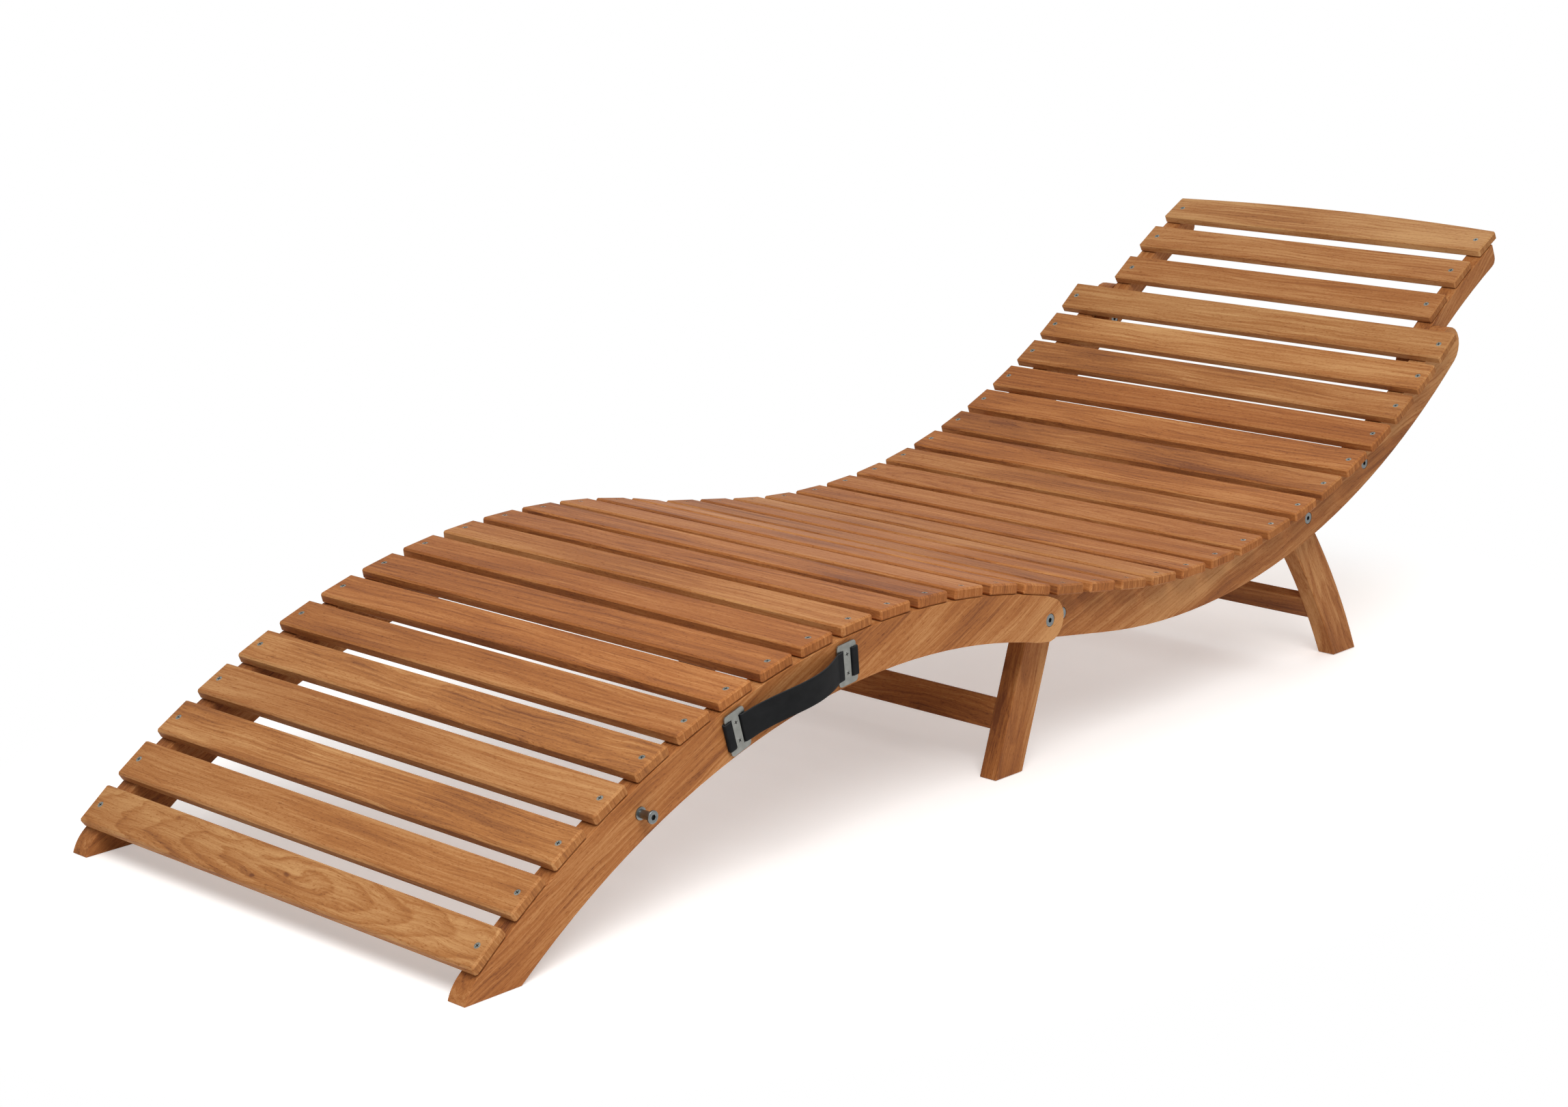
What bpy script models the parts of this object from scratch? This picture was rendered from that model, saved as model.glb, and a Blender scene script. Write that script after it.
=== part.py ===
# Folding sun lounger. An arched foot frame, a dished seat frame and a short head frame carry slats that
# are screwed across pairs of bent rails. It stands on the toes of the foot rails and on two pairs of legs.
# X runs from the toe to the head, Z is up. Left and right are as seen from the foot end.

import math

import bmesh
import bpy
from mathutils import Matrix, Vector

# Slats
SLAT_LENGTH = 0.590
SLAT_WIDTH = 0.0465
SLAT_THICKNESS = 0.012
SLAT_EASE = 0.002
HEAD_SLAT_WIDTH = 0.0455
HEAD_SLAT_CROWN = 0.010
FOOT_SLATS = 15
SEAT_SLATS = 15
HEAD_SLATS = 3

# Rails, measured square to their length
RAIL_THICKNESS = 0.023
RAIL_DEPTH = 0.051
HEAD_RAIL_DEPTH = 0.028
RAIL_SIDE_GAP = 0.001
RAIL_EASE = 0.0015

# Knee hinge, where the foot frame and the seat frame meet
KNEE_HEIGHT = 0.1857
KNEE_END_RADIUS = 0.024
KNEE_END_BLEND = 0.012
FIRST_SLAT_FROM_KNEE = 0.0321

# Foot frame: one arc from the knee to the floor
FOOT_SLOPE_AT_KNEE = math.radians(14.74)
FOOT_RADIUS = 0.9019
TOE_SET_BACK = 0.010
TOE_NOSE_RADIUS = 0.045
LAST_FOOT_SLAT_FROM_NOSE = 0.0270
FOOT_SLAT_SPREAD = 0.0140  # opens the spacing of the foot slats towards the toe

# Seat frame: straight behind the knee, then one arc up to the head end
SEAT_SLOPE_AT_KNEE = math.radians(-8.01)
SEAT_STRAIGHT = 0.1362
SEAT_RADIUS = 0.9387
SEAT_RAIL_LENGTH = 0.9115
LAST_SEAT_SLAT_FROM_END = 0.0292
BACK_BOLT_FROM_RAIL_END = 0.2261

# Head frame: one arc that leans out of the head end of the seat frame
HEAD_HINGE_FROM_RAIL_END = 0.0379
HEAD_HINGE_RISE = 0.0097
HEAD_SLOPE_AT_HINGE = math.radians(38.85)
HEAD_RADIUS = 1.0486
HEAD_RAIL_LENGTH = 0.2178
HEAD_RAIL_END_RADIUS = 0.010
FIRST_HEAD_SLAT_FROM_HINGE = 0.0751
LAST_HEAD_SLAT_FROM_END = 0.0098

# Legs: the knee legs are straight, and the rear legs are bent like the seat rails that they fold beside
LEG_WIDTH = 0.045
LEG_THICKNESS = 0.023
KNEE_LEG_FROM_KNEE = 0.0539
KNEE_LEG_SLOPE = math.radians(-107.6)
REAR_LEG_RAIL_SHARE = 0.6059
REAR_LEG_SLOPE = math.radians(-47.6)
BRACE_THICKNESS = 0.012
BRACE_DEPTH = 0.0345
KNEE_BRACE_FROM_PIVOT = 0.1226
REAR_BRACE_FROM_PIVOT = 0.1582
BRACE_EASE = 0.001

# Countersunk holes for the slat screws, and pilot holes under them
SCREW_FROM_SLAT_END = 0.0125
SCREW_FROM_HEAD_SLAT_END = 0.017
SCREW_HEAD_RADIUS = 0.0035
SCREW_HEAD_HEIGHT = 0.0019
SCREW_SUNK = 0.00035
SCREW_SHANK_RADIUS = 0.0018
SCREW_LENGTH = 0.024
SCREW_SIDES = 8
SINK_SIDES = 16

# Flat-head hinge bolts with a hex socket; each node holds a bolt and the cap nut on its far end
BOLT_HEAD_RADIUS = 0.00725
BOLT_HEAD_HEIGHT = 0.0025
BOLT_HEAD_SUNK = 0.0002
BOLT_SHANK_RADIUS = 0.003
BOLT_SOCKET_ACROSS = 0.005
BOLT_SOCKET_DEPTH = 0.0018
BOLT_IN_BACK_RAIL = 0.017
BOLT_SIDES = 16

# Webbing strap on the right foot rail, held by two slotted plates
STRAP_WIDTH = 0.030
STRAP_THICKNESS = 0.0014
STRAP_BOW = 0.014
STRAP_BOW_PEAK = 0.62
STRAP_STEPS = 16
FRONT_PLATE_FROM_KNEE = 0.5012
REAR_PLATE_FROM_KNEE = 0.3389
PLATE_LENGTH = 0.044
PLATE_WIDTH = 0.028
PLATE_THICKNESS = 0.0015
PLATE_CORNER_RADIUS = 0.004
PLATE_BAR_WIDTH = 0.010
PLATE_SLOT_WIDTH = 0.0045
PLATE_SCREW_SPACING = 0.020
PLATE_SCREW_LENGTH = 0.016

# Stud on the right foot rail
STUD_FROM_KNEE = 0.6392
STUD_REACH = 0.0175
STUD_FLANGE_RADIUS = 0.0065
STUD_FLANGE_HEIGHT = 0.0016
STUD_SHAFT_RADIUS = 0.0043
STUD_HEAD_HEIGHT = 0.0030
STUD_HEAD_EASE = 0.0007
STUD_IN_RAIL = 0.016

# Clearances
SEAT_GAP = 0.0003
HOLE_GAP = 0.0003
FACET_LENGTH = 0.028
END_FACETS = 10

# Side positions follow from the slat length: foot rails outside, seat rails inside them, then the rest
HALF_SLAT = SLAT_LENGTH / 2
FOOT_RAIL_Y = HALF_SLAT - RAIL_THICKNESS / 2
SEAT_RAIL_Y = FOOT_RAIL_Y - RAIL_THICKNESS - RAIL_SIDE_GAP
INNER_OUTSIDE = SEAT_RAIL_Y - RAIL_THICKNESS / 2 - RAIL_SIDE_GAP
HEAD_RAIL_Y = INNER_OUTSIDE - RAIL_THICKNESS / 2
LEG_Y = INNER_OUTSIDE - LEG_THICKNESS / 2
SCREW_REACH = HALF_SLAT - SCREW_FROM_SLAT_END
HEAD_SCREW_REACH = INNER_OUTSIDE - SCREW_FROM_HEAD_SLAT_END
SIDES = {"left": 1, "right": -1}


def heading(angle):
    return Vector((math.cos(angle), math.sin(angle)))


def left_of(angle):
    return Vector((-math.sin(angle), math.cos(angle)))


class BentLine:
    """A line in the side view: straight at first, then an arc to its left (bend 1) or its right (bend -1)."""

    def __init__(self, start, slope, straight, radius, bend):
        self.start = start
        self.slope = slope
        self.straight = straight
        self.radius = radius
        self.bend = bend
        self.arc_start = start + heading(slope) * straight
        self.centre = self.arc_start + left_of(slope) * radius * bend

    def slope_at(self, distance):
        return self.slope + self.bend * max(0.0, distance - self.straight) / self.radius

    def at(self, distance, offset=0.0):
        """The point at a distance along the line, moved to its left by offset."""
        slope = self.slope_at(distance)
        if distance <= self.straight:
            point = self.start + heading(slope) * distance
        else:
            point = self.centre - left_of(slope) * self.radius * self.bend
        return point + left_of(slope) * offset

    def beside(self, offset):
        """The parallel line that lies to the left by offset."""
        radius = self.radius - self.bend * offset
        return BentLine(self.at(0.0, offset), self.slope, self.straight, radius, self.bend)

    def points(self, start, end, offset=0.0):
        """Points from one distance to another, close enough for the arc to read as round."""
        if end <= self.straight:
            return [self.at(start, offset), self.at(end, offset)]
        first = max(start, self.straight)
        count = math.ceil((end - first) / FACET_LENGTH)
        stations = [first + (end - first) * step / count for step in range(count + 1)]
        if start < self.straight:
            stations.insert(0, start)
        return [self.at(station, offset) for station in stations]

    def floor_distance(self, offset):
        """How far along the line its parallel at offset meets the floor, on the way down."""
        straight_run = self.at(0.0, offset).y / -math.sin(self.slope)
        if straight_run <= self.straight:
            return straight_run
        radius = self.radius - self.bend * offset
        slope = -math.acos(self.bend * self.centre.y / radius)
        return self.straight + (slope - self.slope) * self.bend * self.radius


def arc(centre, radius, start, end, facets=END_FACETS):
    """Points on a circle from one angle to another, both ends included."""
    return [centre + heading(start + (end - start) * step / facets) * radius for step in range(facets + 1)]


def circle_crossing(centre, radius, other, other_radius):
    """The crossing of two circles that lies to the right of the way from centre to other."""
    apart = other - centre
    along = (apart.length_squared + radius**2 - other_radius**2) / (2 * apart.length)
    across = math.sqrt(radius**2 - along**2)
    direction = apart.normalized()
    return centre + direction * along + Vector((direction.y, -direction.x)) * across


# The lines that everything hangs on
KNEE = Vector((0.0, KNEE_HEIGHT))
FOOT_LINE = BentLine(KNEE, math.pi - FOOT_SLOPE_AT_KNEE, 0.0, FOOT_RADIUS, 1)
SEAT_LINE = BentLine(KNEE, SEAT_SLOPE_AT_KNEE, SEAT_STRAIGHT, SEAT_RADIUS, 1)
HEAD_HINGE = SEAT_LINE.at(SEAT_RAIL_LENGTH - HEAD_HINGE_FROM_RAIL_END, HEAD_HINGE_RISE)
HEAD_LINE = BentLine(HEAD_HINGE, HEAD_SLOPE_AT_HINGE, 0.0, HEAD_RADIUS, -1)
KNEE_LEG_PIVOT = SEAT_LINE.at(KNEE_LEG_FROM_KNEE)
KNEE_LEG_LINE = BentLine(KNEE_LEG_PIVOT, KNEE_LEG_SLOPE, 2 * KNEE_HEIGHT, SEAT_RADIUS, 1)
REAR_LEG_PIVOT = SEAT_LINE.at(SEAT_RAIL_LENGTH * REAR_LEG_RAIL_SHARE)
REAR_LEG_LINE = BentLine(REAR_LEG_PIVOT, REAR_LEG_SLOPE, 0.0, SEAT_RADIUS, -1)
BACK_BOLT = SEAT_LINE.at(SEAT_RAIL_LENGTH - BACK_BOLT_FROM_RAIL_END)

FOOT_TOP = FOOT_LINE.beside(-RAIL_DEPTH / 2)
SEAT_TOP = SEAT_LINE.beside(RAIL_DEPTH / 2)
HEAD_TOP = HEAD_LINE.beside(HEAD_RAIL_DEPTH / 2)


def make_material(name, colour, roughness, metallic=0.0):
    material = bpy.data.materials.new(name)
    material.use_nodes = True
    shader = material.node_tree.nodes["Principled BSDF"]
    shader.inputs["Base Color"].default_value = (*colour, 1.0)
    shader.inputs["Roughness"].default_value = roughness
    shader.inputs["Metallic"].default_value = metallic
    material.diffuse_color = (*colour, 1.0)
    return material


def clear_scene():
    for thing in list(bpy.data.objects):
        bpy.data.objects.remove(thing)


clear_scene()
LOUNGER = bpy.data.collections.new("folding_sun_lounger")
CUTTERS = bpy.data.collections.new("cutters")
bpy.context.scene.collection.children.link(LOUNGER)
bpy.context.scene.collection.children.link(CUTTERS)
SLAT_WOOD = make_material("slat_wood", (0.42, 0.19, 0.09), 0.55)
RAIL_WOOD = make_material("rail_wood", (0.36, 0.15, 0.07), 0.55)
ZINC = make_material("zinc", (0.62, 0.62, 0.60), 0.35, 1.0)
STEEL = make_material("satin_steel", (0.55, 0.56, 0.54), 0.40, 1.0)
WEBBING = make_material("webbing", (0.015, 0.015, 0.016), 0.85)


def add_empty(name, point, parent=None):
    """An empty on a joint's axis. point is its place in the side view."""
    empty = bpy.data.objects.new(name, None)
    empty.empty_display_size = 0.05
    LOUNGER.objects.link(empty)
    if parent:
        empty.parent = parent
        point = point - Vector((parent.location.x, parent.location.z))
    empty.location = (point.x, 0.0, point.y)
    return empty


def side_place(pivot, point, slope=0.0, y=0.0):
    """The place, under a body's empty, of a piece at a side-view point and turned to a slope."""
    return Matrix.Translation((point.x - pivot.x, y, point.y - pivot.y)) @ Matrix.Rotation(-slope, 4, "Y")


def add_piece(name, mesh, material, body, place):
    """One named sub-part: an object that holds mesh, under its body's empty."""
    piece = bpy.data.objects.new(name, mesh)
    if not mesh.materials:
        mesh.materials.append(material)
    LOUNGER.objects.link(piece)
    piece.parent = body
    piece.matrix_local = place
    return piece


def add_cutter(name, mesh, body):
    cutter = bpy.data.objects.new(name, mesh)
    CUTTERS.objects.link(cutter)
    cutter.parent = body
    cutter.hide_render = True
    cutter.display_type = "WIRE"
    return cutter


def cut(piece, cutter):
    """Takes the cutter out of the piece."""
    modifier = piece.modifiers.new("cut_" + cutter.name, "BOOLEAN")
    modifier.operation = "DIFFERENCE"
    modifier.object = cutter


def mesh_of(maker):
    """The finished mesh of an object with its modifiers; the object itself goes."""
    bpy.context.view_layer.update()
    graph = bpy.context.evaluated_depsgraph_get()
    mesh = bpy.data.meshes.new_from_object(maker.evaluated_get(graph))
    mesh.name = maker.name
    bpy.data.objects.remove(maker)
    return mesh


def weld(mesh):
    shape = bmesh.new()
    shape.from_mesh(mesh)
    bmesh.ops.remove_doubles(shape, verts=shape.verts, dist=1e-6)
    shape.to_mesh(mesh)
    shape.free()
    return mesh


def board(name, outline, thickness, ease):
    """A board cut to a closed outline, thickness along Z and centred there, with eased edges."""
    curve = bpy.data.curves.new(name, "CURVE")
    curve.dimensions = "2D"
    curve.fill_mode = "BOTH"
    curve.extrude = thickness / 2
    spline = curve.splines.new("POLY")
    spline.points.add(len(outline) - 1)
    for spot, point in zip(spline.points, outline):
        spot.co = (point.x, point.y, 0.0, 1.0)
    spline.use_cyclic_u = True
    flat = bpy.data.objects.new(name, curve)
    CUTTERS.objects.link(flat)
    mesh = weld(mesh_of(flat))
    blank = bpy.data.objects.new(name, mesh)
    CUTTERS.objects.link(blank)
    add_bevel(blank, ease)
    return mesh_of(blank)


def add_bevel(blank, width):
    """Eases the sharp edges of a board, and leaves the shallow facets of its curves alone."""
    bevel = blank.modifiers.new("eased_edges", "BEVEL")
    bevel.width = width
    bevel.segments = 1
    bevel.limit_method = "ANGLE"
    bevel.angle_limit = math.radians(40)


def upright(mesh, pivot):
    """Stands a board that was cut flat into the side view, with its origin at the pivot."""
    mesh.transform(Matrix.Rotation(math.pi / 2, 4, "X") @ Matrix.Translation((-pivot.x, -pivot.y, 0.0)))
    return mesh


def turned(name, profile, sides):
    """A solid turned about Z from (radius, height) points that run down its outer side."""
    mesh = bpy.data.meshes.new(name)
    corners = [(radius, 0.0, height) for radius, height in profile]
    mesh.from_pydata(corners, [(i, i + 1) for i in range(len(corners) - 1)], [])
    blank = bpy.data.objects.new(name, mesh)
    CUTTERS.objects.link(blank)
    screw = blank.modifiers.new("turn", "SCREW")
    screw.steps = sides
    screw.render_steps = sides
    screw.use_merge_vertices = True
    screw.merge_threshold = 1e-5
    solid = mesh_of(blank)
    solid.shade_smooth()
    solid.set_sharp_from_angle(angle=math.radians(35))
    return solid


def cones(name, low_radius, high_radius, depth, places, sides):
    """Cutters in one mesh: a cone about Z, centred, at each place."""
    sizes = {"radius1": low_radius, "radius2": high_radius, "depth": depth}
    shape = bmesh.new()
    for place in places:
        bmesh.ops.create_cone(shape, cap_ends=True, segments=sides, matrix=place, **sizes)
    mesh = bpy.data.meshes.new(name)
    shape.to_mesh(mesh)
    shape.free()
    return mesh


def prisms(name, radius, depth, places, sides):
    """Cutters in one mesh: a prism about Z, centred, at each place."""
    return cones(name, radius, radius, depth, places, sides)


# Slats

def screw_places(reach, slat_place):
    """Where a slat's two screws, at reach from its middle, go through its underside, left one first."""
    return [slat_place @ Matrix.Translation((0.0, side * reach, 0.0)) for side in SIDES.values()]


def drilled_slat(name, outline, reach):
    """A slat with two countersunk holes; its origin is the middle of its underside, its width along X."""
    blank_mesh = board(name, outline, SLAT_THICKNESS, SLAT_EASE)
    blank_mesh.transform(Matrix.Translation((0.0, 0.0, SLAT_THICKNESS / 2)))
    blank = bpy.data.objects.new(name, blank_mesh)
    CUTTERS.objects.link(blank)
    places = screw_places(reach, Matrix())
    lift = Matrix.Translation((0.0, 0.0, SLAT_THICKNESS / 2))
    hole_radius = SCREW_SHANK_RADIUS + HOLE_GAP
    cone_depth = 2 * (SCREW_SUNK + SCREW_HEAD_HEIGHT)
    steepness = (SCREW_HEAD_RADIUS - SCREW_SHANK_RADIUS) / SCREW_HEAD_HEIGHT
    holes = prisms(
        name + "_holes", hole_radius, 2 * SLAT_THICKNESS, [place @ lift for place in places], SCREW_SIDES
    )
    sinks = cones(
        name + "_sinks",
        SCREW_SHANK_RADIUS,
        SCREW_SHANK_RADIUS + steepness * cone_depth,
        cone_depth,
        [place @ Matrix.Translation((0.0, 0.0, SLAT_THICKNESS)) for place in places],
        SINK_SIDES,
    )
    hole_cutter = add_cutter(name + "_holes", holes, None)
    sink_cutter = add_cutter(name + "_sinks", sinks, None)
    cut(blank, hole_cutter)
    cut(blank, sink_cutter)
    slat = mesh_of(blank)
    bpy.data.objects.remove(hole_cutter)
    bpy.data.objects.remove(sink_cutter)
    return slat


def slat_outline(width, length, crown=0.0):
    """A slat seen from above. A crown bows out its long edge towards the head."""
    corners = [Vector((-width / 2, length / 2)), Vector((-width / 2, -length / 2))]
    if not crown:
        return corners + [Vector((width / 2, -length / 2)), Vector((width / 2, length / 2))]
    radius = (length**2 / 4 + crown**2) / (2 * crown)
    half_angle = math.asin(length / 2 / radius)
    centre = Vector((width / 2 + crown - radius, 0.0))
    return corners + arc(centre, radius, -half_angle, half_angle)


def slat_places(top, pivot, first, last, count, lift, facing, spread=0.0):
    """The places of slats on a rail's top edge. facing is 1 where the line runs to the head.
    They are evenly spaced, unless a spread widens their spacing from the first to the last."""
    places = []
    for number in range(count):
        share = number / (count - 1)
        distance = first + (last - first) * share - spread * share * (1 - share)
        slope = top.slope_at(distance) + (0.0 if facing > 0 else math.pi)
        point = top.at(distance, lift * facing)
        places.append(side_place(pivot, point, slope))
    return places


def add_slats(prefix, body, mesh, places, last_mesh=None):
    for number, place in enumerate(places, 1):
        used = last_mesh if last_mesh and number == len(places) else mesh
        add_piece(f"{prefix}_{number:02d}", used, SLAT_WOOD, body, place)


# Rails and legs

def knee_end(line):
    """The rounded end of a rail about the knee hinge, from its right side round to its left."""
    return arc(line.start, KNEE_END_RADIUS, line.slope - math.pi / 2, line.slope - 3 * math.pi / 2)


def seat_rail_outline():
    half = RAIL_DEPTH / 2
    end = SEAT_LINE.at(SEAT_RAIL_LENGTH)
    slope = SEAT_LINE.slope_at(SEAT_RAIL_LENGTH)
    return (
        knee_end(SEAT_LINE)
        + SEAT_LINE.points(KNEE_END_BLEND, SEAT_RAIL_LENGTH, half)[:-1]
        + arc(end, half, slope + math.pi / 2, slope - math.pi / 2)
        + SEAT_LINE.points(KNEE_END_BLEND, SEAT_RAIL_LENGTH, -half)[-2::-1]
    )


def toe_nose():
    """The foot rail's nose: its centre, where it leaves the top edge, and where it meets the floor."""
    top_reach = math.sqrt(FOOT_TOP.radius**2 - FOOT_TOP.centre.y**2)
    tip = Vector((FOOT_TOP.centre.x - top_reach + TOE_SET_BACK, 0.0))
    centre = circle_crossing(
        FOOT_TOP.centre, FOOT_TOP.radius - TOE_NOSE_RADIUS, tip, TOE_NOSE_RADIUS
    )
    away = centre - FOOT_TOP.centre
    leave_angle = math.atan2(away.y, away.x)
    start_angle = FOOT_LINE.slope - math.pi / 2
    return centre, tip, leave_angle, (leave_angle - start_angle) * FOOT_TOP.radius


def foot_rail_outline():
    half = RAIL_DEPTH / 2
    nose, tip, leave_angle, top_run = toe_nose()
    to_centre = FOOT_LINE.radius / FOOT_TOP.radius
    heel_radius = FOOT_LINE.radius - half
    heel_angle = math.pi - math.asin(-FOOT_LINE.centre.y / heel_radius)
    heel_distance = (heel_angle - (FOOT_LINE.slope - math.pi / 2)) * FOOT_LINE.radius
    tip_angle = math.atan2(tip.y - nose.y, tip.x - nose.x)
    top_edge = FOOT_LINE.points(KNEE_END_BLEND, top_run * to_centre, -half)[:-1]
    under_edge = FOOT_LINE.points(KNEE_END_BLEND, heel_distance, half)
    toe = arc(nose, TOE_NOSE_RADIUS, leave_angle, tip_angle)
    return knee_end(FOOT_LINE)[::-1] + top_edge + toe + under_edge[::-1]


def head_rail_outline():
    half = HEAD_RAIL_DEPTH / 2
    slope = HEAD_LINE.slope_at(HEAD_RAIL_LENGTH)
    end = HEAD_LINE.at(HEAD_RAIL_LENGTH, half)
    corner_distance = HEAD_RAIL_LENGTH - HEAD_RAIL_END_RADIUS
    corner_slope = HEAD_LINE.slope_at(corner_distance)
    corner = HEAD_LINE.at(corner_distance, HEAD_RAIL_END_RADIUS - half)
    hinge_end = arc(HEAD_LINE.start, half, HEAD_LINE.slope - math.pi / 2, HEAD_LINE.slope - 3 * math.pi / 2)
    return (
        hinge_end
        + HEAD_LINE.points(0.0, HEAD_RAIL_LENGTH, half)[1:-1]
        + [end]
        + arc(corner, HEAD_RAIL_END_RADIUS, slope, corner_slope - math.pi / 2, END_FACETS // 2)
        + HEAD_LINE.points(0.0, corner_distance, -half)[-2:0:-1]
    )


def leg_outline(line):
    """A leg from its rounded top round its pivot to its flat foot on the floor."""
    half = LEG_WIDTH / 2
    top = arc(line.start, half, line.slope - math.pi / 2, line.slope - 3 * math.pi / 2)
    left_edge = line.points(0.0, line.floor_distance(half), half)[1:]
    right_edge = line.points(0.0, line.floor_distance(-half), -half)[1:]
    return top + left_edge + right_edge[::-1]


def bore_place(pivot, point, y):
    """A place in the side view whose Z axis runs across the lounger."""
    return side_place(pivot, point, 0.0, y) @ Matrix.Rotation(math.pi / 2, 4, "X")


def drill(piece, body, pivot, points, radius, depth, y, sides=BOLT_SIDES):
    """Bores a hole across the piece at each point of the side view."""
    places = [bore_place(pivot, point, y) for point in points]
    name = f"{piece.name}_bores_{len(piece.modifiers)}"
    cut(piece, add_cutter(name, prisms(name, radius, depth, places, sides), body))


def counterbore(piece, body, pivot, points, face_y):
    """Sinks a bolt head's recess into the face of the piece at face_y."""
    depth = 2 * (BOLT_HEAD_HEIGHT + BOLT_HEAD_SUNK + SEAT_GAP)
    drill(piece, body, pivot, points, BOLT_HEAD_RADIUS + HOLE_GAP, depth, face_y)


def bolt_profile(length, capped):
    """A bolt whose head's top is at Z 0. A capped one ends in its cap nut, and the other in the wood."""
    head = [
        (0.0, 0.0),
        (BOLT_HEAD_RADIUS, 0.0),
        (BOLT_HEAD_RADIUS, -BOLT_HEAD_HEIGHT),
        (BOLT_SHANK_RADIUS, -BOLT_HEAD_HEIGHT),
    ]
    if not capped:
        return head + [(BOLT_SHANK_RADIUS, -length), (0.0, -length)]
    return head + [(radius, -length - height) for radius, height in head[::-1]]


def socketed(mesh, tops):
    """Cuts a hex socket into a turned piece at each height in tops."""
    blank = bpy.data.objects.new(mesh.name, mesh)
    CUTTERS.objects.link(blank)
    across_corners = BOLT_SOCKET_ACROSS / math.cos(math.pi / 6)
    places = [Matrix.Translation((0.0, 0.0, top)) for top in tops]
    socket = prisms(mesh.name + "_socket", across_corners / 2, 2 * BOLT_SOCKET_DEPTH, places, 6)
    cutter = add_cutter(mesh.name + "_socket", socket, None)
    cut(blank, cutter)
    solid = mesh_of(blank)
    bpy.data.objects.remove(cutter)
    return solid


def facing(pivot, point, y, outward):
    """The place of a bolt whose head faces out of the lounger where outward is 1, or else in."""
    turn = -math.pi / 2 if outward * y > 0 else math.pi / 2
    return side_place(pivot, point, 0.0, y) @ Matrix.Rotation(turn, 4, "X")


def add_bolts(name, body, pivot, point, head_y, nut_y):
    """A bolt on each side, its head sunk in the face at head_y and its cap nut in the face at nut_y."""
    length = head_y - nut_y - 2 * BOLT_HEAD_SUNK
    mesh = socketed(turned(name, bolt_profile(length, True), BOLT_SIDES), [0.0, -length])
    for side, sign in SIDES.items():
        place = facing(pivot, point, sign * (head_y - BOLT_HEAD_SUNK), 1)
        add_piece(f"{name}_{side}", mesh, ZINC, body, place)


def add_blind_bolts(name, body, pivot, point, head_y, length):
    """A bolt on each side, its head sunk in the inner face at head_y and its end in the wood outside it."""
    mesh = socketed(turned(name, bolt_profile(length, False), BOLT_SIDES), [0.0])
    for side, sign in SIDES.items():
        place = facing(pivot, point, sign * (head_y + BOLT_HEAD_SUNK), -1)
        add_piece(f"{name}_{side}", mesh, ZINC, body, place)


def add_board_pair(prefix, outline, thickness, y, body, pivot):
    """The left and right copies of a rail or leg; each has its own mesh, to be bored."""
    pair = {}
    for side, sign in SIDES.items():
        mesh = upright(board(f"{prefix}_{side}", outline, thickness, RAIL_EASE), pivot)
        place = Matrix.Translation((0.0, sign * y, 0.0))
        pair[side] = add_piece(f"{prefix}_{side}", mesh, RAIL_WOOD, body, place)
    return pair


def add_brace(name, line, distance, body):
    """A board between the two legs, flush with their toe side, at a distance along them."""
    length = 2 * (LEG_Y - LEG_THICKNESS / 2 - SEAT_GAP)
    mesh = board(name, slat_outline(BRACE_DEPTH, length), BRACE_THICKNESS, BRACE_EASE)
    inset = LEG_WIDTH / 2 - RAIL_EASE - BRACE_THICKNESS / 2
    place = side_place(line.start, line.at(distance, -inset), line.slope_at(distance))
    add_piece(name, mesh, RAIL_WOOD, body, place)


# Strap, its plates and the stud, all on the outer face of the right foot rail

RAIL_FACE = HALF_SLAT
PLATE_LIFT = STRAP_THICKNESS + 2 * SEAT_GAP


def strap_path():
    """The strap's middle line as (distance from the front plate, height off the rail) points."""
    span = FRONT_PLATE_FROM_KNEE - REAR_PLATE_FROM_KNEE
    slot = (PLATE_BAR_WIDTH + PLATE_SLOT_WIDTH) / 2
    under = SEAT_GAP + STRAP_THICKNESS / 2
    over = PLATE_LIFT + PLATE_THICKNESS + SEAT_GAP + STRAP_THICKNESS / 2
    past = PLATE_WIDTH / 2 + SEAT_GAP + STRAP_THICKNESS / 2
    border_inside = PLATE_BAR_WIDTH / 2 + PLATE_SLOT_WIDTH
    wrap = [
        Vector((-border_inside - STRAP_THICKNESS, under)),
        Vector((-past, under)),
        Vector((-past, over)),
        Vector((-slot, over)),
        Vector((-slot, under)),
        Vector((slot, under)),
        Vector((slot, over)),
    ]
    leave = past + STRAP_THICKNESS
    skew = math.log(0.5) / math.log(STRAP_BOW_PEAK)
    bow = []
    for step in range(STRAP_STEPS + 1):
        share = step / STRAP_STEPS
        height = over + STRAP_THICKNESS + STRAP_BOW * math.sin(math.pi * share**skew)
        bow.append(Vector((leave + (span - 2 * leave) * share, height)))
    return wrap + bow + [Vector((span - point.x, point.y)) for point in wrap[::-1]]


def thickened(path, thickness):
    """The closed outline of a band that follows an open path, with mitred corners."""
    left = []
    right = []
    for number, point in enumerate(path):
        before = (point - path[number - 1]).normalized() if number else None
        after = (path[number + 1] - point).normalized() if number + 1 < len(path) else None
        before = before or after
        after = after or before
        middle = Vector((-before.y - after.y, before.x + after.x)).normalized()
        reach = thickness / 2 / middle.dot(Vector((-before.y, before.x)))
        left.append(point + middle * reach)
        right.append(point - middle * reach)
    return left + right[::-1]


def on_rail(distance, height, across):
    """A point by the right foot rail, under the foot frame's empty."""
    point = FOOT_LINE.at(distance, across) - KNEE
    return Vector((point.x, -RAIL_FACE - height, point.y))


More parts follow.
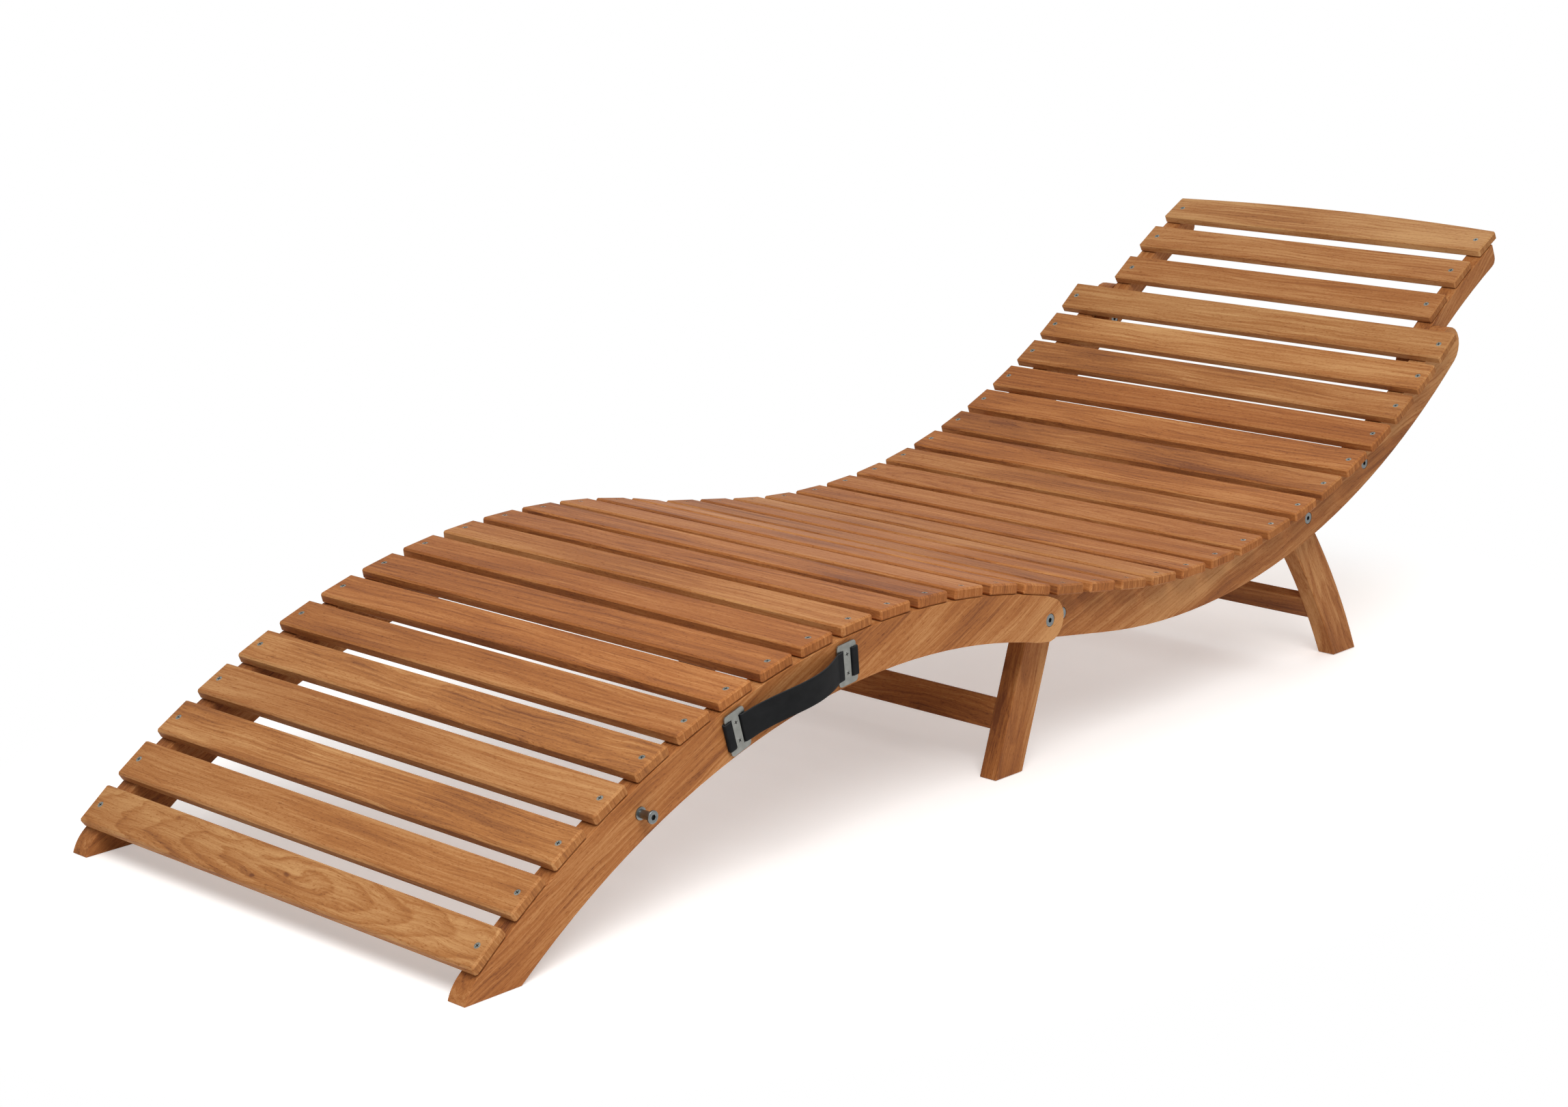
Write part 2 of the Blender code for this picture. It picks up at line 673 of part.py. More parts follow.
def strap_mesh():
    """The webbing: cut as a flat band, then laid along the bend of the rail."""
    mesh = board("carry_strap", thickened(strap_path(), STRAP_THICKNESS), STRAP_WIDTH, 0.0)
    for corner in mesh.vertices:
        corner.co = on_rail(FRONT_PLATE_FROM_KNEE - corner.co.x, corner.co.y, corner.co.z)
    return mesh


def plate_place(distance):
    """A place on the rail's face: X along the rail, Y across it, Z out of the face."""
    slope = FOOT_LINE.slope_at(distance) + math.pi
    middle = Matrix.Translation(on_rail(distance, 0.0, 0.0))
    return middle @ Matrix.Rotation(-slope, 4, "Y") @ Matrix.Rotation(math.pi / 2, 4, "X")


def rounded_box(width, length, radius):
    """A rectangle with rounded corners, round its middle."""
    outline = []
    for quarter, (x, y) in enumerate(((1, 1), (-1, 1), (-1, -1), (1, -1))):
        centre = Vector((x * (width / 2 - radius), y * (length / 2 - radius)))
        start = quarter * math.pi / 2
        outline += arc(centre, radius, start, start + math.pi / 2, 3)
    return outline


def plate_screw_spots():
    return [Matrix.Translation((0.0, side * PLATE_SCREW_SPACING / 2, 0.0)) for side in (1, -1)]


def slotted_plate(name):
    """A plate with a strap slot on each side of its middle bar, and two screw holes in the bar."""
    mesh = board(name, rounded_box(PLATE_WIDTH, PLATE_LENGTH, PLATE_CORNER_RADIUS), PLATE_THICKNESS, 0.0)
    mesh.transform(Matrix.Translation((0.0, 0.0, PLATE_LIFT + PLATE_THICKNESS / 2)))
    blank = bpy.data.objects.new(name, mesh)
    CUTTERS.objects.link(blank)
    slot_middle = (PLATE_BAR_WIDTH + PLATE_SLOT_WIDTH) / 2
    slot_length = STRAP_WIDTH + 2 * HOLE_GAP
    shape = bmesh.new()
    for side in (1, -1):
        place = Matrix.Translation((side * slot_middle, 0.0, PLATE_LIFT))
        size = Matrix.Diagonal((PLATE_SLOT_WIDTH, slot_length, 4 * PLATE_THICKNESS, 1.0))
        bmesh.ops.create_cube(shape, size=1.0, matrix=place @ size)
    slots = bpy.data.meshes.new(name + "_slots")
    shape.to_mesh(slots)
    shape.free()
    holes = prisms(name + "_holes", SCREW_SHANK_RADIUS + HOLE_GAP, 0.02, plate_screw_spots(), SCREW_SIDES)
    cutters = [add_cutter(name + "_slots", slots, None), add_cutter(name + "_holes", holes, None)]
    for cutter in cutters:
        cut(blank, cutter)
    plate = mesh_of(blank)
    for cutter in cutters:
        bpy.data.objects.remove(cutter)
    return plate


def stud_mesh():
    """The stud: a flange on the rail, a shaft and a flat head with a socket, and a shank in the rail."""
    ease = STUD_HEAD_EASE
    base = SEAT_GAP
    neck = STUD_REACH - STUD_HEAD_HEIGHT
    profile = [
        (0.0, STUD_REACH),
        (STUD_FLANGE_RADIUS - ease, STUD_REACH),
        (STUD_FLANGE_RADIUS, STUD_REACH - ease),
        (STUD_FLANGE_RADIUS, neck),
        (STUD_SHAFT_RADIUS, neck),
        (STUD_SHAFT_RADIUS, base + STUD_FLANGE_HEIGHT),
        (STUD_FLANGE_RADIUS, base + STUD_FLANGE_HEIGHT),
        (STUD_FLANGE_RADIUS, base),
        (BOLT_SHANK_RADIUS, base),
        (BOLT_SHANK_RADIUS, -STUD_IN_RAIL),
        (0.0, -STUD_IN_RAIL),
    ]
    return socketed(turned("foot_rail_stud", profile, BOLT_SIDES), [STUD_REACH])


def add_strap_and_stud(body, rail):
    """The strap with its plates, and the stud, with their holes in the rail."""
    distances = {"front": FRONT_PLATE_FROM_KNEE, "rear": REAR_PLATE_FROM_KNEE}
    strap = add_piece("carry_strap", strap_mesh(), WEBBING, body, Matrix())
    plate = slotted_plate("strap_plate")
    spots = [plate_place(distance) @ spot for distance in distances.values() for spot in plate_screw_spots()]
    for side, distance in distances.items():
        add_piece("strap_plate_" + side, plate, STEEL, body, plate_place(distance))
    seat = PLATE_LIFT + PLATE_THICKNESS + SEAT_GAP
    reach = 2 * (PLATE_SCREW_LENGTH - seat + HOLE_GAP)
    holes = prisms("strap_screw_holes", SCREW_SHANK_RADIUS + HOLE_GAP, reach, spots, SCREW_SIDES)
    screw_holes = add_cutter("strap_screw_holes", holes, body)
    cut(rail, screw_holes)
    cut(strap, screw_holes)
    add_piece("foot_rail_stud", stud_mesh(), ZINC, body, plate_place(STUD_FROM_KNEE))
    stud_hole = prisms(
        "stud_hole",
        BOLT_SHANK_RADIUS + HOLE_GAP,
        2 * (STUD_IN_RAIL + HOLE_GAP),
        [plate_place(STUD_FROM_KNEE)],
        BOLT_SIDES,
    )
    cut(rail, add_cutter("stud_hole", stud_hole, body))


# Frames

def pilot_holes(rails, body, places, reach):
    """Holes in the rails for the parts of the slat screws that reach them."""
    depth = 2 * (SCREW_LENGTH - SLAT_THICKNESS + SCREW_SUNK)
    spots = {side: [] for side in rails}
    for place in places:
        for side, spot in zip(SIDES, screw_places(reach, place)):
            spots[side].append(spot)
    for side, rail in rails.items():
        name = rail.name + "_pilots"
        holes = prisms(name, SCREW_SHANK_RADIUS + HOLE_GAP, depth, spots[side], SCREW_SIDES)
        cut(rail, add_cutter(name, holes, body))


def add_foot_frame(body, slat):
    rails = add_board_pair("foot_rail", foot_rail_outline(), RAIL_THICKNESS, FOOT_RAIL_Y, body, KNEE)
    last = toe_nose()[3] - LAST_FOOT_SLAT_FROM_NOSE
    places = slat_places(
        FOOT_TOP, KNEE, FIRST_SLAT_FROM_KNEE, last, FOOT_SLATS, SEAT_GAP, -1, FOOT_SLAT_SPREAD
    )[::-1]
    add_slats("foot_slat", body, slat, places)
    pilot_holes(rails, body, places, SCREW_REACH)
    for side, rail in rails.items():
        y = SIDES[side] * FOOT_RAIL_Y
        counterbore(rail, body, KNEE, [KNEE], SIDES[side] * HALF_SLAT)
        drill(rail, body, KNEE, [KNEE], BOLT_SHANK_RADIUS + HOLE_GAP, 2 * RAIL_THICKNESS, y)
    add_strap_and_stud(body, rails["right"])


def add_seat_frame(body, slat):
    rails = add_board_pair("seat_rail", seat_rail_outline(), RAIL_THICKNESS, SEAT_RAIL_Y, body, KNEE)
    last = SEAT_TOP.straight + (SEAT_RAIL_LENGTH - SEAT_STRAIGHT) * SEAT_TOP.radius / SEAT_RADIUS
    last -= LAST_SEAT_SLAT_FROM_END
    hollow = (SLAT_WIDTH**2 / 4 + FACET_LENGTH**2 / 4) / (2 * SEAT_TOP.radius)
    lift = SEAT_GAP + hollow
    places = slat_places(SEAT_TOP, KNEE, FIRST_SLAT_FROM_KNEE, last, SEAT_SLATS, lift, 1)
    add_slats("seat_slat", body, slat, places)
    through = [KNEE, KNEE_LEG_PIVOT, REAR_LEG_PIVOT, BACK_BOLT]
    for side, rail in rails.items():
        sign = SIDES[side]
        outer = sign * (SEAT_RAIL_Y + RAIL_THICKNESS / 2)
        inner = sign * (SEAT_RAIL_Y - RAIL_THICKNESS / 2)
        radius = BOLT_SHANK_RADIUS + HOLE_GAP
        drill(rail, body, KNEE, through, radius, 2 * RAIL_THICKNESS, sign * SEAT_RAIL_Y)
        drill(rail, body, KNEE, [HEAD_HINGE], radius, 2 * (BOLT_IN_BACK_RAIL + HOLE_GAP), inner)
        counterbore(rail, body, KNEE, [KNEE_LEG_PIVOT, REAR_LEG_PIVOT, BACK_BOLT], outer)
        counterbore(rail, body, KNEE, [KNEE, BACK_BOLT], inner)


def add_head_frame(body, slat, last_slat):
    rails = add_board_pair("head_rail", head_rail_outline(), RAIL_THICKNESS, HEAD_RAIL_Y, body, HEAD_HINGE)
    last = HEAD_RAIL_LENGTH * HEAD_TOP.radius / HEAD_RADIUS - LAST_HEAD_SLAT_FROM_END
    places = slat_places(
        HEAD_TOP, HEAD_HINGE, FIRST_HEAD_SLAT_FROM_HINGE, last, HEAD_SLATS, SEAT_GAP, 1
    )
    add_slats("head_slat", body, slat, places, last_slat)
    pilot_holes(rails, body, places, HEAD_SCREW_REACH)
    for side, rail in rails.items():
        sign = SIDES[side]
        radius = BOLT_SHANK_RADIUS + HOLE_GAP
        drill(rail, body, HEAD_HINGE, [HEAD_HINGE], radius, 2 * RAIL_THICKNESS, sign * HEAD_RAIL_Y)
        inner = sign * (HEAD_RAIL_Y - RAIL_THICKNESS / 2)
        counterbore(rail, body, HEAD_HINGE, [HEAD_HINGE], inner)


def add_legs(prefix, line, body):
    legs = add_board_pair(prefix, leg_outline(line), LEG_THICKNESS, LEG_Y, body, line.start)
    for side, leg in legs.items():
        sign = SIDES[side]
        radius = BOLT_SHANK_RADIUS + HOLE_GAP
        drill(leg, body, line.start, [line.start], radius, 2 * LEG_THICKNESS, sign * LEG_Y)
        counterbore(leg, body, line.start, [line.start], sign * (LEG_Y - LEG_THICKNESS / 2))


def add_hinge_bolts(body):
    """The bolts stay with the seat frame, which they are tightened on."""
    seat_outer = SEAT_RAIL_Y + RAIL_THICKNESS / 2
    seat_inner = SEAT_RAIL_Y - RAIL_THICKNESS / 2
    leg_inner = LEG_Y - LEG_THICKNESS / 2
    head_inner = HEAD_RAIL_Y - RAIL_THICKNESS / 2
    head_bolt = RAIL_THICKNESS + RAIL_SIDE_GAP + BOLT_IN_BACK_RAIL - BOLT_HEAD_SUNK
    add_bolts("knee_hinge_bolt", body, KNEE, KNEE, HALF_SLAT, seat_inner)
    add_bolts("knee_leg_bolt", body, KNEE, KNEE_LEG_PIVOT, seat_outer, leg_inner)
    add_bolts("rear_leg_bolt", body, KNEE, REAR_LEG_PIVOT, seat_outer, leg_inner)
    add_bolts("back_rail_bolt", body, KNEE, BACK_BOLT, seat_outer, seat_inner)
    add_blind_bolts("head_hinge_bolt", body, KNEE, HEAD_HINGE, head_inner, head_bolt)


def centre_on_floor(root):
    """Moves the whole lounger so that the middle of its box, at floor level, is the origin."""
    bpy.context.view_layer.update()
    graph = bpy.context.evaluated_depsgraph_get()
    corners = [
        piece.matrix_world @ corner.co
        for piece in LOUNGER.objects
        if piece.type == "MESH"
        for corner in piece.evaluated_get(graph).data.vertices
    ]
    lows = [min(corner[axis] for corner in corners) for axis in range(3)]
    highs = [max(corner[axis] for corner in corners) for axis in range(3)]
    root.location = (-(lows[0] + highs[0]) / 2, -(lows[1] + highs[1]) / 2, -lows[2])
    bpy.context.view_layer.update()
    size = [high - low for low, high in zip(lows, highs)]
    print("size in metres:", " x ".join(f"{length:.4f}" for length in size))


def main():
    root = add_empty("lounger", Vector((0.0, 0.0)))
    seat = add_empty("seat_frame", KNEE, root)
    foot = add_empty("foot_frame", KNEE, root)
    head = add_empty("head_frame", HEAD_HINGE, root)
    knee_legs = add_empty("knee_legs", KNEE_LEG_PIVOT, root)
    rear_legs = add_empty("rear_legs", REAR_LEG_PIVOT, root)

    slat = drilled_slat("slat", slat_outline(SLAT_WIDTH, SLAT_LENGTH), SCREW_REACH)
    head_length = 2 * INNER_OUTSIDE
    head_slat = drilled_slat("head_slat", slat_outline(HEAD_SLAT_WIDTH, head_length), HEAD_SCREW_REACH)
    crowned = slat_outline(HEAD_SLAT_WIDTH, head_length, HEAD_SLAT_CROWN)
    top_slat = drilled_slat("crowned_slat", crowned, HEAD_SCREW_REACH)

    add_foot_frame(foot, slat)
    add_seat_frame(seat, slat)
    add_head_frame(head, head_slat, top_slat)
    add_legs("knee_leg", KNEE_LEG_LINE, knee_legs)
    add_brace("knee_leg_brace", KNEE_LEG_LINE, KNEE_BRACE_FROM_PIVOT, knee_legs)
    add_legs("rear_leg", REAR_LEG_LINE, rear_legs)
    add_brace("rear_leg_brace", REAR_LEG_LINE, REAR_BRACE_FROM_PIVOT, rear_legs)
    add_hinge_bolts(seat)
    centre_on_floor(root)
    for empty in (seat, foot, head, knee_legs, rear_legs):
        x, y, z = empty.matrix_world.translation
        print(f"{empty.name} turns about ({x:.5f}, {y:.5f}, {z:.5f})")


main()
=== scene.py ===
from math import cos, log, pi, radians, sin
from random import Random

import bmesh
import bpy
from mathutils import Matrix, Vector


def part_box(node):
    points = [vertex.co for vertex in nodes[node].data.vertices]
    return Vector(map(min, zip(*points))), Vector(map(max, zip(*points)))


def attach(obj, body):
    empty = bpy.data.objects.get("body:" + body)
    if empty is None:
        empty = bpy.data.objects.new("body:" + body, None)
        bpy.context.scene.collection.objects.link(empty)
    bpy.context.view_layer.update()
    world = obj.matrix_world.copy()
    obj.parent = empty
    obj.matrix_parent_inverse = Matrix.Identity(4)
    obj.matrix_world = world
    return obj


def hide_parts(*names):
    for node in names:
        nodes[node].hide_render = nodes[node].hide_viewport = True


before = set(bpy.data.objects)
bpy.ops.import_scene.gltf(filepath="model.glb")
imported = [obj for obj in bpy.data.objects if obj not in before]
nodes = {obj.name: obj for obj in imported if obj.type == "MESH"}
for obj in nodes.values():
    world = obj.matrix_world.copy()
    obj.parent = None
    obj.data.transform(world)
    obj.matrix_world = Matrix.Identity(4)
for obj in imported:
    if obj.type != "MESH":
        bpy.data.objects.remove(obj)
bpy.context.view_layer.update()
print("frame loaded with", len(nodes), "nodes")

mm = 0.001


class Wire:
    # a socket that can stand in a sum, so that 1 - mask adds its own Math node
    def __init__(self, finish, socket):
        self.finish = finish
        self.socket = socket

    def maths(self, operation, *values):
        return self.finish.add("ShaderNodeMath", {"operation": operation}, dict(enumerate(values)))

    def __add__(self, other):
        return self.maths("ADD", self, other)

    def __radd__(self, other):
        return self.maths("ADD", other, self)

    def __sub__(self, other):
        return self.maths("SUBTRACT", self, other)

    def __rsub__(self, other):
        return self.maths("SUBTRACT", other, self)

    def __mul__(self, other):
        return self.maths("MULTIPLY", self, other)

    def __rmul__(self, other):
        return self.maths("MULTIPLY", other, self)

    def __truediv__(self, other):
        return self.maths("DIVIDE", self, other)

    def __pow__(self, other):
        return self.maths("POWER", self, other)

    def __abs__(self):
        return self.maths("ABSOLUTE", self)

    def fraction(self):
        return self.maths("FRACT", self)

    def squareRoot(self):
        return self.maths("SQRT", self)

    def smaller(self, other):
        return self.maths("MINIMUM", self, other)

    def swing(self):
        # how far a noise is above or below its middle
        return self - 0.5

    def between(self, low, high):
        # 0 at low and 1 at high, with soft ends
        settings = {"interpolation_type": "SMOOTHSTEP"}
        values = {"Value": self, "From Min": low, "From Max": high}
        return self.finish.add("ShaderNodeMapRange", settings, values)


class Finish:
    # the nodes of one material, or of the world
    def __init__(self, owner):
        self.owner = bpy.data.materials.new(owner) if isinstance(owner, str) else owner
        self.owner.use_nodes = True
        self.tree = self.owner.node_tree
        self.tree.nodes.clear()

    def add(self, kind, settings=None, values=None, output=0):
        # one node: its settings and a ramp's stops come first, then the values and links of its sockets
        node = self.tree.nodes.new(kind)
        for name, setting in (settings or {}).items():
            if name == "stops":
                ramp = node.color_ramp.elements
                while len(ramp) < len(setting):
                    ramp.new(0.5)
                for stop, (place, colour) in zip(ramp, setting):
                    stop.position = place
                    stop.color = (*colour, 1.0)
            else:
                setattr(node, name, setting)
        for name, value in (values or {}).items():
            if isinstance(value, Wire):
                self.tree.links.new(value.socket, node.inputs[name])
            else:
                node.inputs[name].default_value = value
        return Wire(self, node.outputs[output]) if node.outputs else None

    def vectorMaths(self, operation, first, second):
        return self.add("ShaderNodeVectorMath", {"operation": operation}, {0: first, 1: second})

    def mix(self, first, second, share, mode="MIX"):
        # colours only, through the Mix node's own colour sockets
        first, second = [c if isinstance(c, Wire) else (*c, 1.0) for c in (first, second)]
        settings = {"data_type": "RGBA", "blend_type": mode}
        return self.add("ShaderNodeMix", settings, {0: share, 6: first, 7: second}, 2)

    def parts(self, vector):
        # the three numbers of a vector
        split = self.add("ShaderNodeSeparateXYZ", None, {0: vector})
        outputs = split.socket.node.outputs
        return [Wire(self, outputs[axis]) for axis in range(3)]

    def join(self, x, y, z):
        return self.add("ShaderNodeCombineXYZ", None, {0: x, 1: y, 2: z})

    def noise(self, vector, pace, detail, roughness):
        # pace says how fast the noise varies along each axis
        values = {"Vector": self.vectorMaths("MULTIPLY", vector, pace), "Scale": 1.0}
        return self.add("ShaderNodeTexNoise", None, {**values, "Detail": detail, "Roughness": roughness})

    def bump(self, height, distance):
        values = {"Height": height, "Strength": 0.5, "Distance": distance}
        return self.add("ShaderNodeBump", None, values)

    def shade(self, fixed=None, **changing):
        # the shader at the end, with its fixed sockets and the ones that change over the surface
        values = dict(fixed or {})
        values.update({name.replace("_", " "): wire for name, wire in changing.items()})
        shader = self.add("ShaderNodeBsdfPrincipled", None, values)
        self.add("ShaderNodeOutputMaterial", None, {"Surface": shader})
        return self.owner

    def seenDirectly(self):
        # 1 for rays from the camera, from a reflection or through glass
        outputs = self.add("ShaderNodeLightPath").socket.node.outputs
        kinds = ("Is Camera Ray", "Is Glossy Ray", "Is Transmission Ray")
        camera, reflection, glass = [Wire(self, outputs[kind]) for kind in kinds]
        return (camera + reflection + glass).smaller(1.0)


# oiled hardwood, sawn from a log: lengths in millimetres, and depths as shares of the way from dark to light
oiledWood = {
    "light": (0.56, 0.275, 0.105),
    "middle": (0.375, 0.138, 0.040),
    "dark": (0.17, 0.055, 0.021),
    "tone": 0.55,
    "spread": 900,                  # how far apart two boards may lie in the noise
    # each layer of grain: its pace across, along and through the board, its detail and its roughness
    "grain": {
        "drift": ((0.010, 0.0032, 0.010), 2.0, 0.5),
        "waver": ((0.040, 0.012, 0.040), 2.0, 0.55),
        "lines": ((0.22, 0.0046, 0.12), 5.0, 0.66),
        "fibre": ((0.85, 0.016, 0.6), 4.0, 0.62),
        "darkLines": ((0.42, 0.0055, 0.2), 3.0, 0.6),
        "patch": ((0.034, 0.0042, 0.03), 2.0, 0.5),
        "pore": ((1.1, 0.16, 1.0), 2.0, 0.5),
        "speck": ((0.9, 0.30, 0.9), 3.0, 0.6),
        "endBands": ((0.42, 0.001, 0.012), 4.0, 0.66),
    },
    "bendThrough": 0.6,             # how much of a line's bend also goes through the board
    "ringWidth": 5.2,
    "ringWaver": 1.2,
    "ringSteepness": 2.2,           # the higher, the later in a ring its wood darkens
    "ringEnd": (0.84, 1.0),
    "ringMiddle": 0.2,
    "ringDepth": 0.26,
    "lineDepth": 1.15,
    "fibreDepth": 0.75,
    "darkLineRange": (0.56, 0.70),
    "darkLineDepth": 0.22,
    "patchDepth": 0.85,
    "poreRange": (0.57, 0.70),
    "poreDepth": 0.26,
    "speckDepth": 0.35,
    "knotStretch": 0.3,
    "knotCore": 0.2,
    "knotDepth": 0.5,
    "sapwood": 0.34,
    "sapwoodWaver": 14.0,
    "sapwoodEdges": (1.5, 9),       # sharp at its start, soft at its end
    "endFacing": (0.60, 0.90),
    "endHides": 0.6,
    "endDepth": 1.5,
    "endTone": 0.24,
    "easedFacing": (0.70, 0.98),
    # how much the painted highlight lightens the eased edges
    "paintedEdgeHighlight": 0.08,
    "roughness": 0.56,
    "roughShares": {"speck": 0.2, "pore": 0.12, "end": 0.15},
    "heightShares": {"lines": 0.6, "speck": 0.3, "pore": 0.8, "late": 0.2},
    "specular": 0.10,
    "bump": 0.18 * mm,
}


def woodFinish(name, place, board):
    # place turns the board's own axes, across, along the grain and through, into the lounger's
    look = oiledWood
    grain = look["grain"]
    wood = Finish(name)
    chance = Random(board["seed"])
    turn = place.to_3x3().to_euler()
    settings = {"vector_type": "TEXTURE"}
    values = {"Location": place.translation, "Rotation": turn, "Scale": (mm, mm, mm)}
    objectSpace = wood.add("ShaderNodeTexCoord", output="Object")
    spot = wood.add("ShaderNodeMapping", settings, {"Vector": objectSpace, **values})
    across, along, through = wood.parts(spot)
    shift = [chance.uniform(-look["spread"], look["spread"]) for axis in range(3)]

    # the grain drifts slowly and wavers, and every line below follows it
    straight = wood.vectorMaths("ADD", spot, shift)
    drift = wood.noise(straight, *grain["drift"])
    waver = wood.noise(straight, *grain["waver"])
    bend = drift.swing() * board["drift"] + waver.swing() * board["waver"]
    bent = across + bend
    sunk = through + bend * look["bendThrough"]
    moved = wood.vectorMaths("ADD", wood.join(bent, along, sunk), shift)

    # the log's rings, which show as arches where the board cuts them at a low angle
    pithAcross, pithThrough = board["pith"]
    leanAcross, leanThrough = board["lean"]
    sideways = bent - pithAcross + along * leanAcross
    deep = sunk - pithThrough + (along - board.get("peak", 0)) * leanThrough
    reach = (sideways * sideways + deep * deep).squareRoot()
    ring = (reach / board.get("ringWidth", look["ringWidth"]) + waver.swing() * look["ringWaver"]).fraction()
    late = ring ** look["ringSteepness"] * (1.0 - ring.between(*look["ringEnd"]))

    # long lines, a few dark ones, broad patches, and the short dashes of open pores
    lines = wood.noise(moved, *grain["lines"])
    fibre = wood.noise(moved, *grain["fibre"])
    darkLines = wood.noise(moved, *grain["darkLines"]).between(*look["darkLineRange"])
    patch = wood.noise(moved, *grain["patch"])
    pore = wood.noise(moved, *grain["pore"]).between(*look["poreRange"])
    speck = wood.noise(moved, *grain["speck"])

    tone = lines.swing() * look["lineDepth"] + (look["tone"] + board["tone"])
    tone = tone + patch.swing() * look["patchDepth"] * board["patches"] + fibre.swing() * look["fibreDepth"]
    tone = tone - darkLines * look["darkLineDepth"] * board["lines"]
    tone = tone - (late - look["ringMiddle"]) * look["ringDepth"] * board["rings"]
    tone = tone - pore * look["poreDepth"] + speck.swing() * look["speckDepth"]
    for knotAcross, knotAlong, size in board.get("knots", ()):
        offAcross, offAlong = bent - knotAcross, along - knotAlong
        off = (offAcross * offAcross + offAlong * offAlong * look["knotStretch"]).squareRoot()
        tone = tone - (1.0 - off.between(size * look["knotCore"], size)) * look["knotDepth"]
    if "sapwood" in board:
        start, end = board["sapwood"]
        sharp, soft = look["sapwoodEdges"]
        edge = across + lines.swing() * look["sapwoodWaver"]
        band = edge.between(start - sharp, start + sharp) * (1.0 - edge.between(end - soft, end + soft))
        tone = tone + band * look["sapwood"]

    # a board's ends show its fibres cut across, in bands, and a painted highlight lightens its eased edges
    normal = wood.add("ShaderNodeTexCoord", output="Normal")
    facing = wood.add("ShaderNodeMapping", settings, {"Vector": normal, "Rotation": turn})
    faceAcross, faceAlong, faceThrough = wood.parts(facing)
    endFace = abs(faceAlong).between(*look["endFacing"]) * board["endBands"]
    bands = wood.noise(straight, *grain["endBands"])
    endGrain = bands.swing() * look["endDepth"] + look["endTone"]
    tone = tone * (1.0 - endFace * look["endHides"]) + endFace * endGrain
    slanted = abs(faceAcross * faceThrough) + abs(faceAlong * faceThrough) + abs(faceAlong * faceAcross)
    eased = slanted * 2.0           # 1 halfway between two faces
    tone = tone + eased.between(*look["easedFacing"]) * look["paintedEdgeHighlight"] * board["eased"]

    stops = [(0.0, look["dark"]), (0.5, look["middle"]), (1.0, look["light"])]
    colour = wood.add("ShaderNodeValToRGB", {"stops": stops}, {"Fac": tone})
    colour = wood.mix(colour, board["tint"], 1.0, "MULTIPLY")
    rough = look["roughShares"]
    roughness = speck.swing() * rough["speck"] + pore * rough["pore"] + endFace * rough["end"]
    roughness = roughness + look["roughness"]
    high = look["heightShares"]
    height = lines * high["lines"] + speck * high["speck"] - pore * high["pore"] - late * high["late"]
    fixed = {"Specular IOR Level": look["specular"]}
    return wood.shade(fixed, Base_Color=colour, Roughness=roughness, Normal=wood.bump(height, look["bump"]))


def dress(node, material):
    # puts a finish on a CAD node, and leaves its mesh alone
    mesh = nodes[node].data
    if not mesh.materials:
        mesh.materials.append(material)
    for slot in nodes[node].material_slots:
        slot.link = "OBJECT"
        slot.material = material


def mainNormal(node, side):
    # the way most of the node's surface faces, of the faces that look roughly to that side
    roughly = 0.3
    sums = {}
    for face in nodes[node].data.polygons:
        if face.normal.dot(side) > roughly:
            key = tuple(round(part, 2) for part in face.normal)
            sums[key] = sums.get(key, Vector()) + face.normal * face.area
    return max(sums.values(), key=lambda total: total.length).normalized()


def slatPlace(node, width):
    # X across the slat to the head, Y along it, Z up out of its top, from the middle of the top
    up = mainNormal(node, Vector((0, 0, 1)))
    across = Vector((0, 1, 0)).cross(up)
    corners = [corner.co for corner in nodes[node].data.vertices]
    low = min(corner.dot(across) for corner in corners)
    top = max(corner.dot(up) for corner in corners)
    ys = [corner.y for corner in corners]
    middle = across * (low + width / 2) + up * top + Vector((0, (min(ys) + max(ys)) / 2, 0))
    place = Matrix((across, (0, 1, 0), up)).transposed().to_4x4()
    place.translation = middle
    return place


